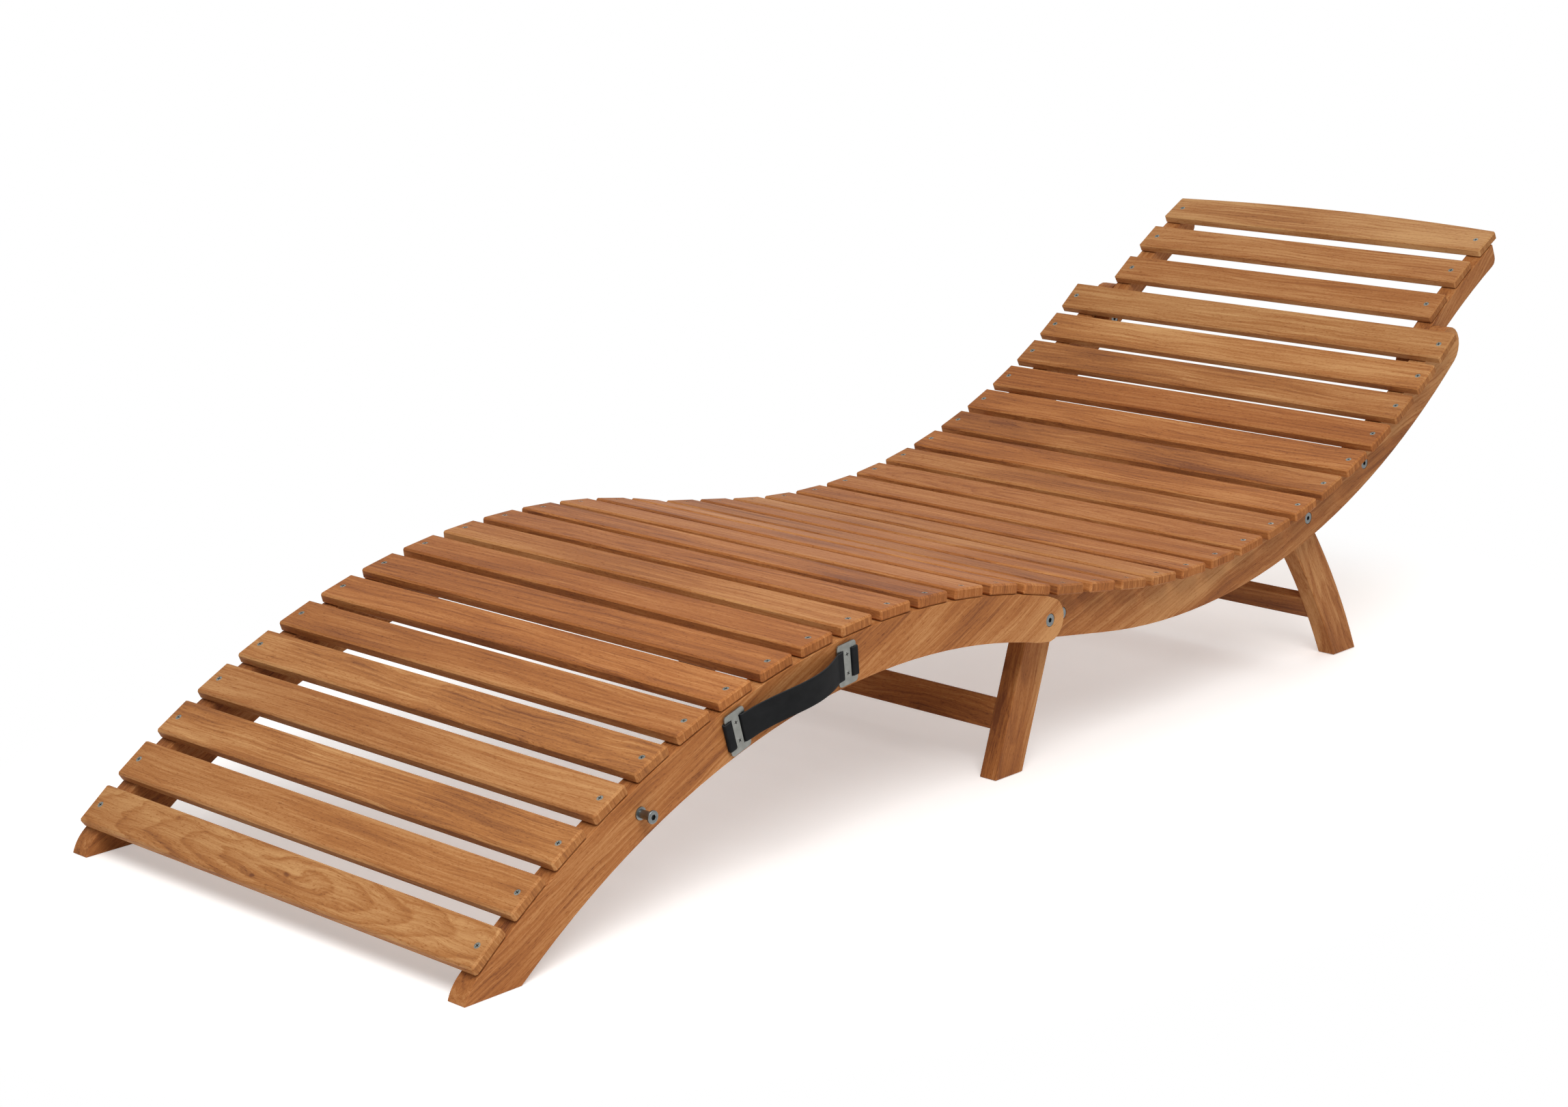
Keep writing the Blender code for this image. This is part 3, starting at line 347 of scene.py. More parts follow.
# slats: most are sawn with straight lines, and a few show arches
slats = {
    "width": 46.5 * mm,
    "headWidth": 45.5 * mm,
    "tints": [(1.05, 1.02, 1.0), (1.0, 1.0, 1.0), (0.98, 0.93, 0.90), (1.08, 1.06, 1.04), (0.95, 0.88, 0.84)],
    # each slat's own values are drawn from between these
    "seeds": 10000,
    "tone": (-0.17, 0.08),
    "pithAcross": (50, 160),        # to either side
    "pithThrough": (-70, -20),
    "leanAcross": (-0.02, 0.02),
    "leanThrough": (-0.03, 0.03),
    "ranges": {
        "drift": (10, 34), "waver": (3, 8), "rings": (0.35, 0.9), "lines": (0.5, 1.3), "patches": (0.5, 1.5)},
    "common": {"endBands": 1.0, "eased": 1.0},
    "arched": {
        "foot_slat_01": {
            "pith": (2, 1), "peak": -30, "lean": (0.006, 0.15), "drift": 34, "waver": 17, "rings": 1.4,
            # its pale, bluish tint paints the sheen on this toe slat
            "ringWidth": 8.5, "tone": 0.07, "patches": 0.7, "lines": 0.3, "tint": (1.03, 1.12, 1.18),
            "knots": [(5, -16, 4), (-9, 24, 3)]},           # across, along, size
        "seat_slat_07": {
            "pith": (-2, -6), "peak": -60, "lean": (0.004, 0.060), "drift": 26, "waver": 12, "rings": 1.2},
        "foot_slat_05": {
            "pith": (9, -12), "peak": 120, "lean": (-0.004, 0.045), "drift": 30, "waver": 12, "rings": 1.0},
        "seat_slat_10": {
            "pith": (6, -10), "peak": 60, "lean": (0.003, 0.040), "drift": 26, "waver": 10, "rings": 0.9},
        "foot_slat_11": {
            "pith": (-6, -14), "peak": -140, "lean": (0.003, 0.050), "drift": 24, "waver": 9, "rings": 0.9},
    },
    # painted light: these slats get a lighter tone for the light that falls on them, and the tint below
    # paints the sheen that greys them
    "paintedLightTones": {
        "foot_slat_02": 0.07, "foot_slat_03": 0.08, "foot_slat_04": 0.09, "foot_slat_05": 0.05,
        "seat_slat_13": 0.08, "seat_slat_14": 0.07, "seat_slat_15": 0.11,
        "head_slat_01": 0.15, "head_slat_02": 0.11, "head_slat_03": 0.24,
    },
    "paintedSheenTint": (1.0, 1.10, 1.18),
}
chance = Random(11)
places = {}
for node in sorted(nodes):
    if "_slat_" not in node:
        continue
    width = slats["headWidth"] if node.startswith("head") else slats["width"]
    places[node] = slatPlace(node, width)
    board = {
        "seed": chance.randrange(slats["seeds"]),
        "tint": chance.choice(slats["tints"]),
        "tone": chance.uniform(*slats["tone"]),
        "pith": (chance.choice((-1, 1)) * chance.uniform(*slats["pithAcross"]),
                 chance.uniform(*slats["pithThrough"])),
        "lean": (chance.uniform(*slats["leanAcross"]), chance.uniform(*slats["leanThrough"])),
        **{part: chance.uniform(*limits) for part, limits in slats["ranges"].items()},
        **slats["common"],
        **slats["arched"].get(node, {}),
    }
    # painted light and painted sheen on the slats listed above
    if node in slats["paintedLightTones"]:
        board["tone"] += slats["paintedLightTones"][node]
        board["tint"] = [a * b for a, b in zip(board["tint"], slats["paintedSheenTint"])]
    dress(node, woodFinish(node + "_wood", places[node], board))
print("slats finished:", len(places))

# rails, legs and braces: slope is that of their fibres in the side view, in degrees, and none is along Y;
# sapwood is the paler band, from and to a height over the board's middle, square to the grain
boards = {
    "firstSeed": 500,
    "common": {
        "tint": (1, 1, 1), "lean": (0.01, 0.02), "drift": 34, "waver": 8, "lines": 1.1, "patches": 1.6,
        "endBands": 0.35, "eased": 0.6,
    },
    "each": {
        "foot_rail_right": {
            "slope": 26, "tone": -0.01, "rings": 0.5, "pith": (-150, 90), "sapwood": (-400, -98)},
        "foot_rail_left": {"slope": 24, "tone": -0.05, "rings": 0.5, "pith": (160, -90)},
        "seat_rail_right": {
            "slope": 17, "tone": -0.06, "rings": 0.5, "pith": (-140, 80), "sapwood": (-78, -14)},
        "seat_rail_left": {"slope": 22, "tone": -0.07, "rings": 0.5, "pith": (150, -80)},
        "head_rail_right": {"slope": 44, "tone": 0.02, "rings": 0.5, "pith": (-90, 60)},
        "head_rail_left": {"slope": 38, "tone": 0.0, "rings": 0.5, "pith": (90, -60)},
        "knee_leg_right": {
            "slope": 74, "tone": -0.05, "rings": 0.9, "pith": (4, 12), "lean": (0.0, 0.09),
            "sapwood": (-60, -13)},
        "knee_leg_left": {"slope": 74, "tone": -0.16, "rings": 0.6, "pith": (60, -50)},
        "rear_leg_right": {"slope": -58, "tone": 0.10, "rings": 0.9, "pith": (2, 14), "lean": (0.0, 0.08)},
        "rear_leg_left": {"slope": -58, "tone": -0.10, "rings": 0.6, "pith": (60, -50)},
        "knee_leg_brace": {"slope": None, "tone": -0.09, "rings": 0.5, "pith": (80, 30)},
        "rear_leg_brace": {"slope": None, "tone": -0.14, "rings": 0.5, "pith": (80, 30)},
    },
}
for seed, (node, choice) in enumerate(boards["each"].items(), boards["firstSeed"]):
    low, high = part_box(node)
    if choice["slope"] is None:
        place = slatPlace(node, 0.0)
    else:
        slope = radians(choice["slope"])
        along = Vector((cos(slope), 0, sin(slope)))
        across = Vector((-sin(slope), 0, cos(slope)))
        place = Matrix((across, along, (0, 1, 0))).transposed().to_4x4()
    place.translation = (low + high) / 2
    dress(node, woodFinish(node + "_wood", place, {"seed": seed, **boards["common"], **choice}))
print("rails, legs and braces finished:", len(boards["each"]))


# metal: zinc on the bolts and the stud, steel on the screws and the strap's plates, and near-black steel that
# paints the shade inside a recess
metals = {
    "zinc": {"colour": (0.20, 0.215, 0.215), "roughness": 0.34, "grain": (420, 420, 420)},
    "screwSteel": {"colour": (0.27, 0.28, 0.255), "roughness": 0.36, "grain": (700, 700, 700)},
    "satinSteel": {"colour": (0.27, 0.275, 0.255), "roughness": 0.42, "grain": (2600, 160, 900)},
    # painted shade for the sockets and the crosses
    "recessSteel": {"colour": (0.035, 0.036, 0.034), "roughness": 0.6, "grain": (700, 700, 700)},
}
metalWear = {
    "brushed": (4.0, 0.6),          # the detail and roughness of each metal's grain
    "cloud": ((90, 90, 90), 3.0, 0.55),
    "cloudRange": (0.3, 0.65),
    "dulled": 0.78,                 # the colour's share where the metal has clouded
    "brushedRoughness": 0.25,
    "cloudRoughness": 0.12,
    "bump": 0.02 * mm,
}


def metalFinish(name):
    choice, wear = metals[name], metalWear
    metal = Finish(name)
    spot = metal.add("ShaderNodeTexCoord", output="Object")
    brushed = metal.noise(spot, choice["grain"], *wear["brushed"])
    cloud = metal.noise(spot, *wear["cloud"])
    dull = tuple(part * wear["dulled"] for part in choice["colour"])
    colour = metal.mix(dull, choice["colour"], cloud.between(*wear["cloudRange"]))
    roughness = choice["roughness"] + brushed.swing() * wear["brushedRoughness"]
    roughness = roughness + cloud.swing() * wear["cloudRoughness"]
    bump = metal.bump(brushed, wear["bump"])
    return metal.shade({"Metallic": 1.0}, Base_Color=colour, Roughness=roughness, Normal=bump)


zinc, screwSteel, satinSteel, recessSteel = [metalFinish(name) for name in metals]
for node in ("strap_plate_front", "strap_plate_rear"):
    dress(node, satinSteel)
print("metals mixed, and the plates finished")

overrun = 1.0 * mm                  # how far a cutter stands out of what it cuts
slack = 0.1 * mm                    # how far past a recess its walls are looked for


def newPiece(name, mesh, finishes, body):
    piece = bpy.data.objects.new(name, mesh)
    bpy.context.scene.collection.objects.link(piece)
    for finish in finishes:
        mesh.materials.append(finish)
    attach(piece, body)
    return piece


def meshFrom(name, shape):
    bmesh.ops.recalc_face_normals(shape, faces=shape.faces)
    mesh = bpy.data.meshes.new(name)
    shape.to_mesh(mesh)
    shape.free()
    return mesh


def smoothed(mesh, sharpFrom=28):
    # soft shading, up to edges that bend by so many degrees
    for face in mesh.polygons:
        face.use_smooth = True
    mesh.set_sharp_from_angle(angle=radians(sharpFrom))
    return mesh


def loopAt(shape, radius, height, sides):
    # corners round the middle line, at a height
    angles = [2 * pi * k / sides for k in range(sides)]
    return [shape.verts.new((radius * cos(angle), radius * sin(angle), height)) for angle in angles]


def bridged(shape, first, second):
    # faces from one loop of corners to the next
    count = len(first)
    for k in range(count):
        ahead = (k + 1) % count
        shape.faces.new((first[k], first[ahead], second[ahead], second[k]))


def turned(name, rings, sides, cutter, width, depth):
    # turns circles of (radius, height) from the top down into a closed piece, and cuts the cutter, of that
    # width and depth, out of it
    shape = bmesh.new()
    loops = [loopAt(shape, radius, height, sides) for radius, height in rings]
    for upper, lower in zip(loops, loops[1:]):
        for k in range(sides):
            ahead = (k + 1) % sides
            shape.faces.new((upper[k], lower[k], lower[ahead], upper[ahead]))
    shape.faces.new(loops[0])
    shape.faces.new(loops[-1][::-1])
    whole = bpy.data.objects.new(name, meshFrom(name, shape))
    recess = bpy.data.objects.new("recess", cutter)
    for thing in (whole, recess):
        bpy.context.scene.collection.objects.link(thing)
    cut = whole.modifiers.new("recess", "BOOLEAN")
    cut.operation = "DIFFERENCE"
    cut.solver = "EXACT"
    cut.use_self = True
    cut.object = recess
    bpy.context.view_layer.update()
    graph = bpy.context.evaluated_depsgraph_get()
    mesh = bpy.data.meshes.new_from_object(whole.evaluated_get(graph))
    for thing in (whole, recess):
        bpy.data.objects.remove(thing)
    # the walls of the recess lie inside its width, and just below an end's face: they take the second finish,
    # the painted shade of the recess
    belowFace = 0.15 * mm
    points = [vertex.co for vertex in mesh.vertices]
    for face in mesh.polygons:
        inside = all(points[corner].xy.length < width for corner in face.vertices)
        fromEnds = min(abs(face.center.z), abs(face.center.z - rings[-1][1]))
        if inside and face.center.z < -belowFace and fromEnds < depth:
            face.material_index = 1
    return mesh


def hexSockets(across, ends):
    # a six-sided prism for each (lower, upper) height
    shape = bmesh.new()
    corner = across / 2 / cos(pi / 6)
    for heights in ends:
        low, high = [loopAt(shape, corner, height, 6) for height in heights]
        shape.faces.new(low[::-1])
        shape.faces.new(high)
        bridged(shape, low, high)
    return meshFrom("sockets", shape)


# hinge bolts: rounded flat heads with a hex socket, and cap nuts like them on their far ends
bolts = {
    # half a head's outline as (radius, height), from its dished middle to the shank, in millimetres
    "head": [(3.96, -0.3), (4.32, -0.09), (4.752, 0.0), (6.24, 0.0), (6.76, -0.12), (7.08, -0.4), (7.2, -0.8),
             (7.2, -2.5), (3.0, -2.5)],
    "shankRadius": 3.0 * mm,
    "chamfer": 0.5 * mm,
    "socketAcross": 5.0 * mm,
    "socketReach": 2.95 * mm,       # just past the socket's corners
    "socketDepth": 1.8 * mm,
    "socketTurn": 0.3,
    "sides": 56,
    "blindPair": "head_hinge_bolt",     # heads inside the rails, and ends in the wood
}


def boltMesh(length, capped):
    # its head's top is at height 0
    size = bolts
    head = [(radius * mm, height * mm) for radius, height in size["head"]]
    shank, chamfer, depth = size["shankRadius"], size["chamfer"], size["socketDepth"]
    ends = [(-depth, overrun)]
    if capped:
        rings = head + [(radius, -length - height) for radius, height in head[::-1]]
        ends.append((-length - overrun, -length + depth))
    else:
        rings = head + [(shank, -length + chamfer), (shank - chamfer, -length)]
    cutter = hexSockets(size["socketAcross"], ends)
    return turned("bolt", rings, size["sides"], cutter, size["socketReach"], depth + slack)


for node in sorted(nodes):
    if "_bolt_" not in node:
        continue
    low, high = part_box(node)
    blind = node.startswith(bolts["blindPair"])
    side = -1 if node.endswith("right") else 1
    outward = -side if blind else side
    middle = (low + high) / 2
    middle.y = high.y if outward > 0 else low.y
    mesh = boltMesh(high.y - low.y, not blind)
    turn = Matrix.Rotation(-outward * pi / 2, 4, "X") @ Matrix.Rotation(bolts["socketTurn"], 4, "Z")
    mesh.transform(Matrix.Translation(middle) @ turn)
    piece = newPiece(node + "_turned", smoothed(mesh), (zinc, recessSteel), "seat_frame")
    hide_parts(node)
print("bolts turned")

# the stud on the right foot rail: a head with a hex socket, a neck, a flange on the rail and a shank in it
stud = {
    # half its outline as (radius, height), from its outer end in, in millimetres
    "rings": [(3.6, -0.25), (3.9, -0.05), (4.2, 0.0), (5.6, 0.0), (6.2, -0.25), (6.5, -0.8), (6.5, -2.4),
              (6.2, -2.9), (5.2, -3.0), (4.4, -3.1), (4.3, -3.4), (4.3, -15.95), (5.8, -16.0), (6.4, -16.2),
              (6.5, -16.5), (6.5, -17.4), (3.0, -17.45), (3.0, -33.0), (2.6, -33.45)],
    "socketAcross": 5.0 * mm,
    "socketReach": 2.95 * mm,
    "socketDepth": 1.8 * mm,
    "sides": 56,
}
low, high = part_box("foot_rail_stud")
rings = [(radius * mm, height * mm) for radius, height in stud["rings"]]
cutter = hexSockets(stud["socketAcross"], [(-stud["socketDepth"], overrun)])
mesh = turned("stud", rings, stud["sides"], cutter, stud["socketReach"], stud["socketDepth"] + slack)
middle = (low + high) / 2
middle.y = low.y
mesh.transform(Matrix.Translation(middle) @ Matrix.Rotation(pi / 2, 4, "X"))
piece = newPiece("foot_rail_stud_turned", smoothed(mesh), (zinc, recessSteel), "foot_frame")
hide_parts("foot_rail_stud")
print("stud turned")


# countersunk screws with a cross recess
screws = {
    # half a head's outline as (radius, height), from its top down, in millimetres
    "head": [(1.8975, 0.0), (3.05, -0.02), (3.35, -0.10), (3.45, -0.25), (3.45, -0.375), (1.8, -1.9)],
    "shank": [(1.728, 0.75), (0.54, 1.0)],      # radius, and its share of the way down the screw
    "sunk": 0.35 * mm,
    "crossWidth": 0.95 * mm,
    "crossReach": 2.1 * mm,
    "crossDepth": 1.5 * mm,
    "crossRise": 0.4 * mm,          # how far the cross's cutter stands out of the head
    "footReach": 0.25,              # how much of its reach and width are left at its foot
    "footWidth": 0.6625,
    "sides": 40,
    "lengths": {"foot_frame": 24 * mm, "head_frame": 24 * mm, "seat_frame": 11.2 * mm},
    "slatReach": 282.5 * mm,
    "headSlatReach": 230 * mm,
}


def taperedCross():
    # the recess of a cross-head screw: two blades that narrow downwards
    size = screws
    shape = bmesh.new()
    reach, width = size["crossReach"], size["crossWidth"]
    levels = [(size["crossRise"], 1.0, 1.0), (-size["crossDepth"], size["footReach"], size["footWidth"])]
    for turn in (0, pi / 2):
        loops = []
        for height, reachShare, widthShare in levels:
            spots = [Vector((x * (reach * reachShare + width / 3), y * width / 2 * widthShare, height))
                     for x, y in ((-1, -1), (1, -1), (1, 1), (-1, 1))]
            loops.append([shape.verts.new(Matrix.Rotation(turn, 3, "Z") @ spot) for spot in spots])
        high, low = loops
        shape.faces.new(low[::-1])
        shape.faces.new(high)
        bridged(shape, low, high)
    return meshFrom("cross", shape)


def screwMesh(length):
    # its head's top is at height 0
    size = screws
    rings = [(radius * mm, height * mm) for radius, height in size["head"]]
    rings += [(radius * mm, -length * share) for radius, share in size["shank"]]
    reach = size["crossReach"] + size["crossWidth"] / 2
    return turned("screw", rings, size["sides"], taperedCross(), reach, size["crossDepth"] + slack)


def scattered(mesh, spots):
    # one mesh that holds a copy at each spot
    shape = bmesh.new()
    for spot in spots:
        copy = mesh.copy()
        copy.transform(spot)
        shape.from_mesh(copy)
        bpy.data.meshes.remove(copy)
    merged = bpy.data.meshes.new(mesh.name + "s")
    shape.to_mesh(merged)
    shape.free()
    return smoothed(merged)


chance = Random(23)
for body, length in screws["lengths"].items():
    part = body.split("_")[0]
    reach = screws["headSlatReach"] if part == "head" else screws["slatReach"]
    spots = []
    for node, place in places.items():
        if not node.startswith(part):
            continue
        for side in (-1, 1):
            seat = Matrix.Translation((0, side * reach, -screws["sunk"]))
            spots.append(place @ seat @ Matrix.Rotation(chance.uniform(0, pi), 4, "Z"))
    mesh = scattered(screwMesh(length), spots)
    newPiece(part + "_slat_screws", mesh, (screwSteel, recessSteel), body)
print("slat screws added:", 2 * len(places))

# the strap on the outer face of the right foot rail, held by two plates: its places are distances along the
# rail from the knee
strap = {
    "knee": (-0.0887, 0.1857),      # X and Z of the rail's line there
    "slopeAtKnee": pi - radians(14.74),
    "railRadius": 0.9019,
    "railFace": -0.2847,
    "front": 501.2 * mm,            # the plates' middles
    "rear": 338.9 * mm,
    "width": 30 * mm,
    "thickness": 1.4 * mm,
    "gap": 0.3 * mm,
    "bow": 14 * mm,
    "bowPeak": 0.62,                # where the bow is highest, as a share of the way from front to rear
    "twist": 2.4 * mm,
    "twistReach": 0.86,             # the share of the strap between the plates that twists
    "bar": 10 * mm,                 # the bar between a plate's two slots, and a slot
    "slot": 4.5 * mm,
    "plateWidth": 28 * mm,
    "plateThickness": 1.5 * mm,
    "plateLift": 2.0 * mm,
    "bend": 0.9 * mm,
    "bendSteps": 6,
    "bendShare": 0.48,              # the most that a bend takes of the line on either side of it
    "nearlyStraight": radians(165),
    "bowSteps": 40,
    "acrossSteps": 12,
    "edge": 0.25 * mm,              # the slanted edge of the webbing
    "sharpFrom": 50,
    "screwSpacing": 20 * mm,
    "screwLength": 16 * mm,
    "screwProud": 0.25 * mm,
    "screwTurns": (0.2, 1.2),
}


def byRail(distance, height, down):
    # a point off the right foot rail's outer face
    slope = strap["slopeAtKnee"]
    left = Vector((-sin(slope), 0, cos(slope)))
    knee = Vector((strap["knee"][0], strap["railFace"], strap["knee"][1]))
    centre = knee + left * strap["railRadius"]
    slope += distance / strap["railRadius"]
    left = Vector((-sin(slope), 0, cos(slope)))
    return centre + left * (down - strap["railRadius"]) + Vector((0, -height, 0))


def strapPath():
    # the band's middle line, as (distance from the front plate's middle, height off the rail)
    size = strap
    span = size["front"] - size["rear"]
    half = size["thickness"] / 2
    slot = (size["bar"] + size["slot"]) / 2
    under = size["gap"] + half
    over = size["plateLift"] + size["plateThickness"] + size["gap"] + half
    past = size["plateWidth"] / 2 + size["gap"] + half
    border = size["bar"] / 2 + size["slot"]
    wrap = [(-border - size["thickness"], under), (-past, under), (-past, over), (-slot, over),
            (-slot, under), (slot, under), (slot, over)]
    leave = past + size["thickness"]
    skew = log(0.5) / log(size["bowPeak"])
    bow = []
    for step in range(size["bowSteps"] + 1):
        share = step / size["bowSteps"]
        lift = sin(pi * share**skew)
        bow.append((leave + (span - 2 * leave) * share, over + size["thickness"] + size["bow"] * lift))
    corners = wrap + bow + [(span - x, height) for x, height in wrap[::-1]]
    return [Vector((x, height, 0)) for x, height in corners]


def rounded(path, radius):
    # the same path with its corners turned on an arc
    size = strap
    out = [path[0]]
    for before, corner, after in zip(path, path[1:], path[2:]):
        back, ahead = before - corner, after - corner
        angle = back.angle(ahead, pi)
        if angle > size["nearlyStraight"]:
            out.append(corner)
            continue
        most = min(back.length, ahead.length) * size["bendShare"]
        trim = min(radius / abs(sin(angle / 2)) * cos(angle / 2), most)
        start, end = corner + back.normalized() * trim, corner + ahead.normalized() * trim
        for step in range(size["bendSteps"] + 1):
            t = step / size["bendSteps"]
            out.append(start * (1 - t) ** 2 + corner * 2 * t * (1 - t) + end * t**2)
    return out + [path[-1]]


def strapSection():
    # the webbing's outline as (down, out): its outer face, an edge, its inner face and the other edge
    size = strap
    half, thick, edge, steps = size["width"] / 2, size["thickness"] / 2, size["edge"], size["acrossSteps"]
    flat = size["width"] - 2 * edge
    outer = [(-half + edge + flat * k / steps, thick) for k in range(steps + 1)]
    inner = [(half - edge - flat * k / steps, -thick) for k in range(steps + 1)]
    outer += [(half, thick - edge), (half, edge - thick)]
    inner += [(-half, edge - thick), (-half, thick - edge)]
    return outer + inner


def strapMesh():
    size = strap
    path = rounded(strapPath(), size["bend"])
    section = strapSection()
    middle = (size["front"] - size["rear"]) / 2
    shape = bmesh.new()
    layer = shape.verts.layers.float_vector.new("strapPlace")
    rings = []
    run = 0.0
    for number, point in enumerate(path):
        before = path[max(number - 1, 0)]
        after = path[min(number + 1, len(path) - 1)]
        run += (point - before).length
        heading = (after - before).normalized()
        side = Vector((-heading.y, heading.x, 0))
        free = max(0.0, 1 - ((point.x - middle) / (middle * size["twistReach"])) ** 2)
        ring = []
        for down, out in section:
            spot = point + side * out
            height = spot.y - size["twist"] * free * (0.5 + down / size["width"])
            corner = shape.verts.new(byRail(size["front"] - spot.x, height, down))
            corner[layer] = (run / mm, down / mm, out / mm)
            ring.append(corner)
        rings.append(ring)
    for first, second in zip(rings, rings[1:]):
        bridged(shape, first, second)
    shape.faces.new(rings[0][::-1])
    shape.faces.new(rings[-1])
    return smoothed(meshFrom("carry_strap_webbing", shape), size["sharpFrom"])


# black webbing, woven in fine ribs: lengths in millimetres
webbingLook = {
    "colour": (0.0062, 0.0066, 0.0072),
    "worn": (0.0130, 0.0135, 0.0145),
    "edge": (0.030, 0.030, 0.031),
    "edgeFrom": (14.2, 14.9),       # how far off its middle line the paler edge begins
    "edgeShare": 0.8,
    "ribs": 0.9,                    # from one rib to the next
    "fuzz": ((1.2, 1.2, 1.2), 3.0, 0.6),
    "cloud": ((0.05, 0.09, 0.05), 3.0, 0.5),
    "cloudRange": (0.25, 0.75),
    "wearShares": (0.5, 0.5),       # of the weave and the fuzz
    "heightShares": (0.6, 0.4),
    "roughness": 0.78,
    "fuzzRoughness": 0.2,
    "specular": 0.14,
    "bump": 0.12 * mm,
}


def webbingFinish():
    look = webbingLook
    cloth = Finish("webbing")
    place = cloth.add("ShaderNodeAttribute", {"attribute_name": "strapPlace"}, output="Vector")
    along, down, out = cloth.parts(place)
    alongRibs, acrossRibs = [(way * (2 * pi / look["ribs"])).maths("SINE", way * (2 * pi / look["ribs"]))
                             for way in (along, down)]
    weave = alongRibs * acrossRibs * 0.5 + 0.5
    fuzz = cloth.noise(place, *look["fuzz"])
    cloud = cloth.noise(place, *look["cloud"])
    ofWeave, ofFuzz = look["wearShares"]
    wear = (weave * ofWeave + fuzz * ofFuzz) * cloud.between(*look["cloudRange"])
    colour = cloth.mix(look["colour"], look["worn"], wear)
    colour = cloth.mix(colour, look["edge"], abs(down).between(*look["edgeFrom"]) * look["edgeShare"])
    roughness = look["roughness"] + fuzz.swing() * look["fuzzRoughness"]
    ofWeave, ofFuzz = look["heightShares"]
    bump = cloth.bump(weave * ofWeave + fuzz * ofFuzz, look["bump"])
    fixed = {"Specular IOR Level": look["specular"]}
    return cloth.shade(fixed, Base_Color=colour, Roughness=roughness, Normal=bump)


webbing = newPiece("carry_strap_webbing", strapMesh(), (webbingFinish(),), "foot_frame")
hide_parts("carry_strap")

spots = []
for distance in (strap["front"], strap["rear"]):
    slope = strap["slopeAtKnee"] + distance / strap["railRadius"] + pi
    for side in (-1, 1):
        height = strap["plateLift"] + strap["plateThickness"] + strap["screwProud"]
        spot = byRail(distance, height, side * strap["screwSpacing"] / 2)
        turn = Matrix.Rotation(-slope, 4, "Y") @ Matrix.Rotation(pi / 2, 4, "X")
        turn = turn @ Matrix.Rotation(chance.uniform(*strap["screwTurns"]), 4, "Z")
        spots.append(Matrix.Translation(spot) @ turn)
mesh = scattered(screwMesh(strap["screwLength"]), spots)
newPiece("strap_plate_screws", mesh, (satinSteel, recessSteel), "foot_frame")
print("strap and its screws added")


# camera where the photograph was taken from
shot = {
    "place": (-2.5363, -2.1083, 1.0140),
    "azimuth": -0.836685598,
    "elevation": 0.243857809,
    "roll": 0.00523785869,
    "lens": 67.49,
    "sensor": 36.0,
    "clip": (0.05, 100.0),
}
lens = bpy.data.cameras.new("shot")
lens.lens = shot["lens"]
lens.sensor_width = shot["sensor"]
lens.clip_start, lens.clip_end = shot["clip"]
camera = bpy.data.objects.new("shot", lens)
bpy.context.scene.collection.objects.link(camera)
bpy.context.scene.camera = camera
azimuth, elevation, roll = shot["azimuth"], shot["elevation"], shot["roll"]
back = Vector((sin(azimuth) * cos(elevation), -cos(azimuth) * cos(elevation), sin(elevation)))
right = Vector((cos(azimuth), sin(azimuth), 0))
up = back.cross(right)
rolledRight = right * cos(roll) + up * sin(roll)
rolledUp = up * cos(roll) - right * sin(roll)
aim = Matrix((rolledRight, rolledUp, back)).transposed().to_4x4()
aim.translation = shot["place"]
camera.matrix_world = aim
print("camera placed")

# white studio: soft lamps, and a floor that goes white away from the shadow
studio = {
    "worldStrength": 0.40,
    "lamps": [
        # place, what it points at, size, watts
        ((-1.8, -1.9, 2.6), (0.0, 0.0, 0.2), 1.8, 68),
        ((-0.6, -0.5, 3.0), (0.5, 0.0, 0.2), 2.4, 19),
        ((2.5, 0.3, 1.7), (0.3, 0.0, 0.2), 1.8, 13),
    ],
    "floorReach": 9.0,
    "floorDrop": 0.3 * mm,          # a hair under the feet, so that two faces never share a place
    "floorColour": (0.90, 0.885, 0.875),
    "floorGain": 0.05,              # how much paler the floor is where it is seen
    "floorLift": 0.37,              # how bright its shadow is at the least, where it is seen
    "liftColour": (0.98, 0.955, 0.925),
    "fade": (0.92, 1.25),           # from shadow to white, as shares of the oval below
    "fadeMiddle": (-0.05, 0.0),
    "fadeReach": (1.0, 0.62),
}
world = bpy.data.worlds.new("studio")
bpy.context.scene.world = world
sky = Finish(world)
plain = sky.add("ShaderNodeBackground", None, {"Color": (1, 1, 1, 1), "Strength": studio["worldStrength"]})
white = sky.add("ShaderNodeBackground", None, {"Color": (1, 1, 1, 1), "Strength": 1.0})
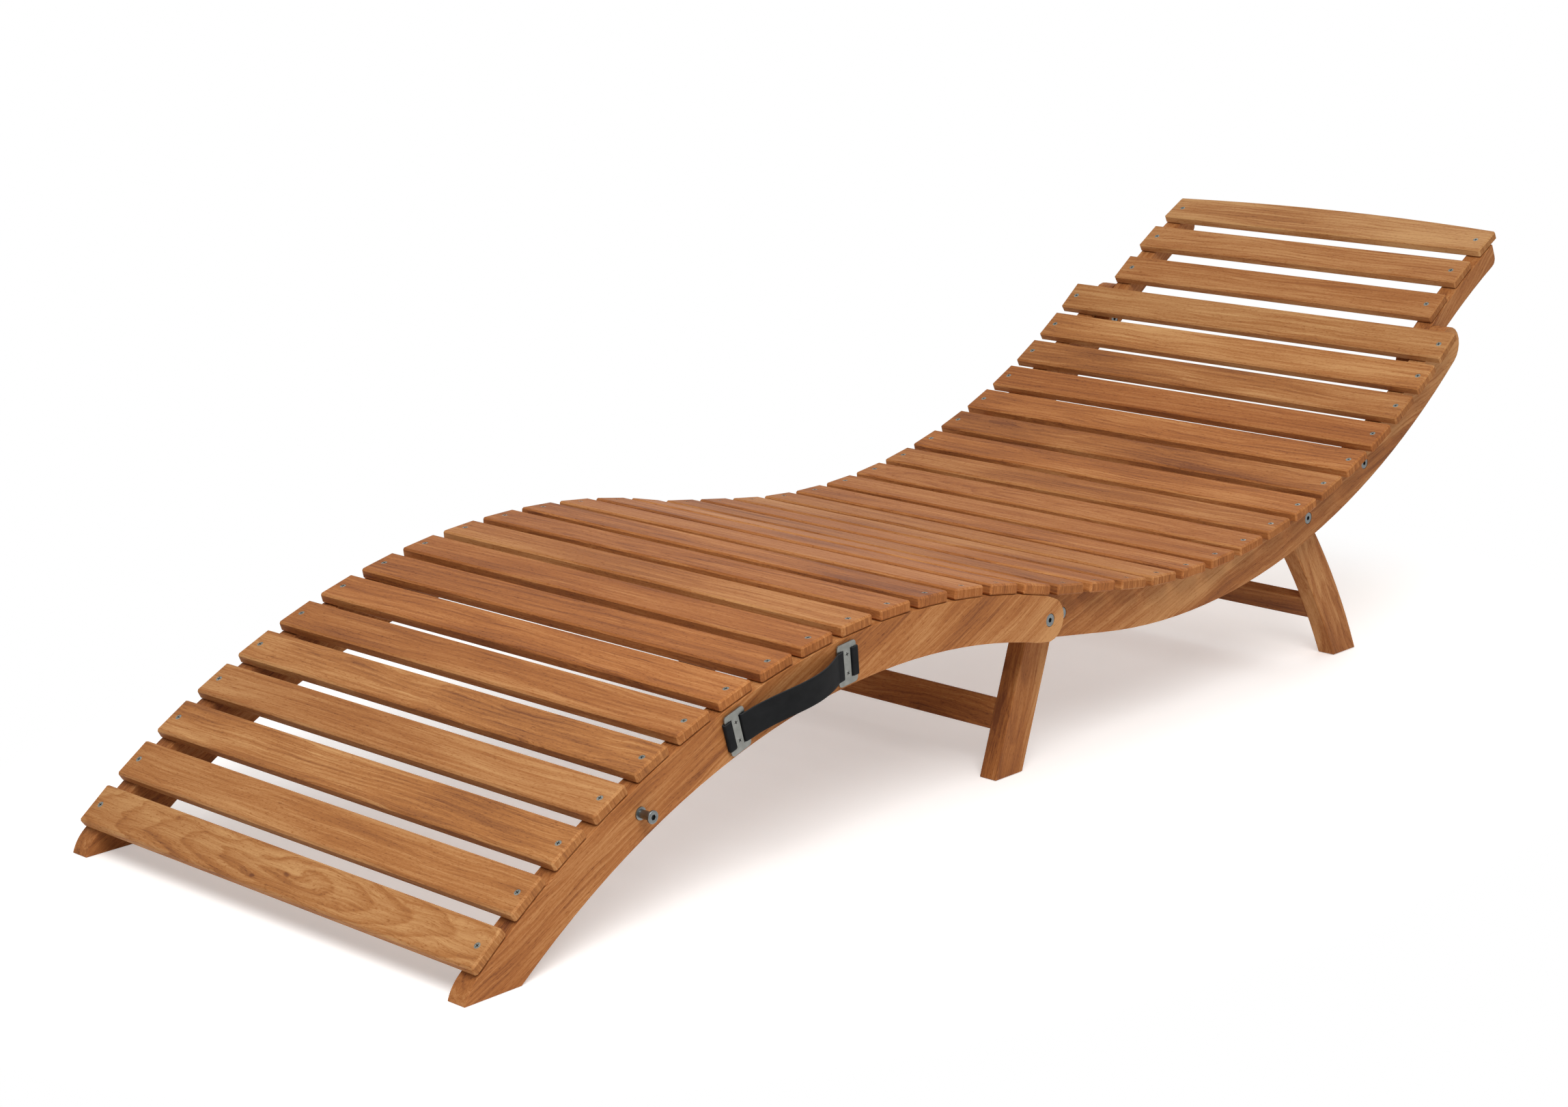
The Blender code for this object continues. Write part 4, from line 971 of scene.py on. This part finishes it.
both = sky.add("ShaderNodeMixShader", None, {0: sky.seenDirectly(), 1: plain, 2: white})
sky.add("ShaderNodeOutputWorld", None, {"Surface": both})

for number, (place, target, size, watts) in enumerate(studio["lamps"], 1):
    light = bpy.data.lights.new(f"lamp_{number}", "AREA")
    light.shape = "DISK"
    light.size = size
    light.energy = watts
    lamp = bpy.data.objects.new(f"lamp_{number}", light)
    bpy.context.scene.collection.objects.link(lamp)
    lamp.location = place
    lamp.rotation_mode = "QUATERNION"
    lamp.rotation_quaternion = (Vector(target) - Vector(place)).to_track_quat("-Z", "Y")

ground = Finish("studio_floor")
x, y, z = ground.parts(ground.add("ShaderNodeTexCoord", output="Object"))
x = (x - studio["fadeMiddle"][0]) / studio["fadeReach"][0]
y = (y - studio["fadeMiddle"][1]) / studio["fadeReach"][1]
fade = (x * x + y * y).squareRoot().between(*studio["fade"])
direct = ground.seenDirectly()
gain = studio["floorGain"]
matte = ground.add("ShaderNodeBsdfDiffuse", None, {"Color": (*studio["floorColour"], 1.0)})
bright = ground.add("ShaderNodeBsdfDiffuse", None, {"Color": (gain, gain, gain, 1.0)})
glow = {"Color": (*studio["liftColour"], 1.0), "Strength": studio["floorLift"]}
lift = ground.add("ShaderNodeEmission", None, glow)
brighter = ground.add("ShaderNodeAddShader", None, {0: matte, 1: bright})
lifted = ground.add("ShaderNodeAddShader", None, {0: brighter, 1: lift})
near = ground.add("ShaderNodeMixShader", None, {0: direct, 1: matte, 2: lifted})
white = ground.add("ShaderNodeEmission", None, {"Strength": 1.0})
floorShader = ground.add("ShaderNodeMixShader", None, {0: fade * direct, 1: near, 2: white})
ground.add("ShaderNodeOutputMaterial", None, {"Surface": floorShader})
shape = bmesh.new()
bmesh.ops.create_grid(shape, x_segments=1, y_segments=1, size=studio["floorReach"])
floor = bpy.data.objects.new("studio_floor", meshFrom("studio_floor", shape))
bpy.context.scene.collection.objects.link(floor)
floor.data.materials.append(ground.owner)
floor.location.z = -studio["floorDrop"]
bpy.context.scene.view_settings.view_transform = "Standard"
print("studio ready")
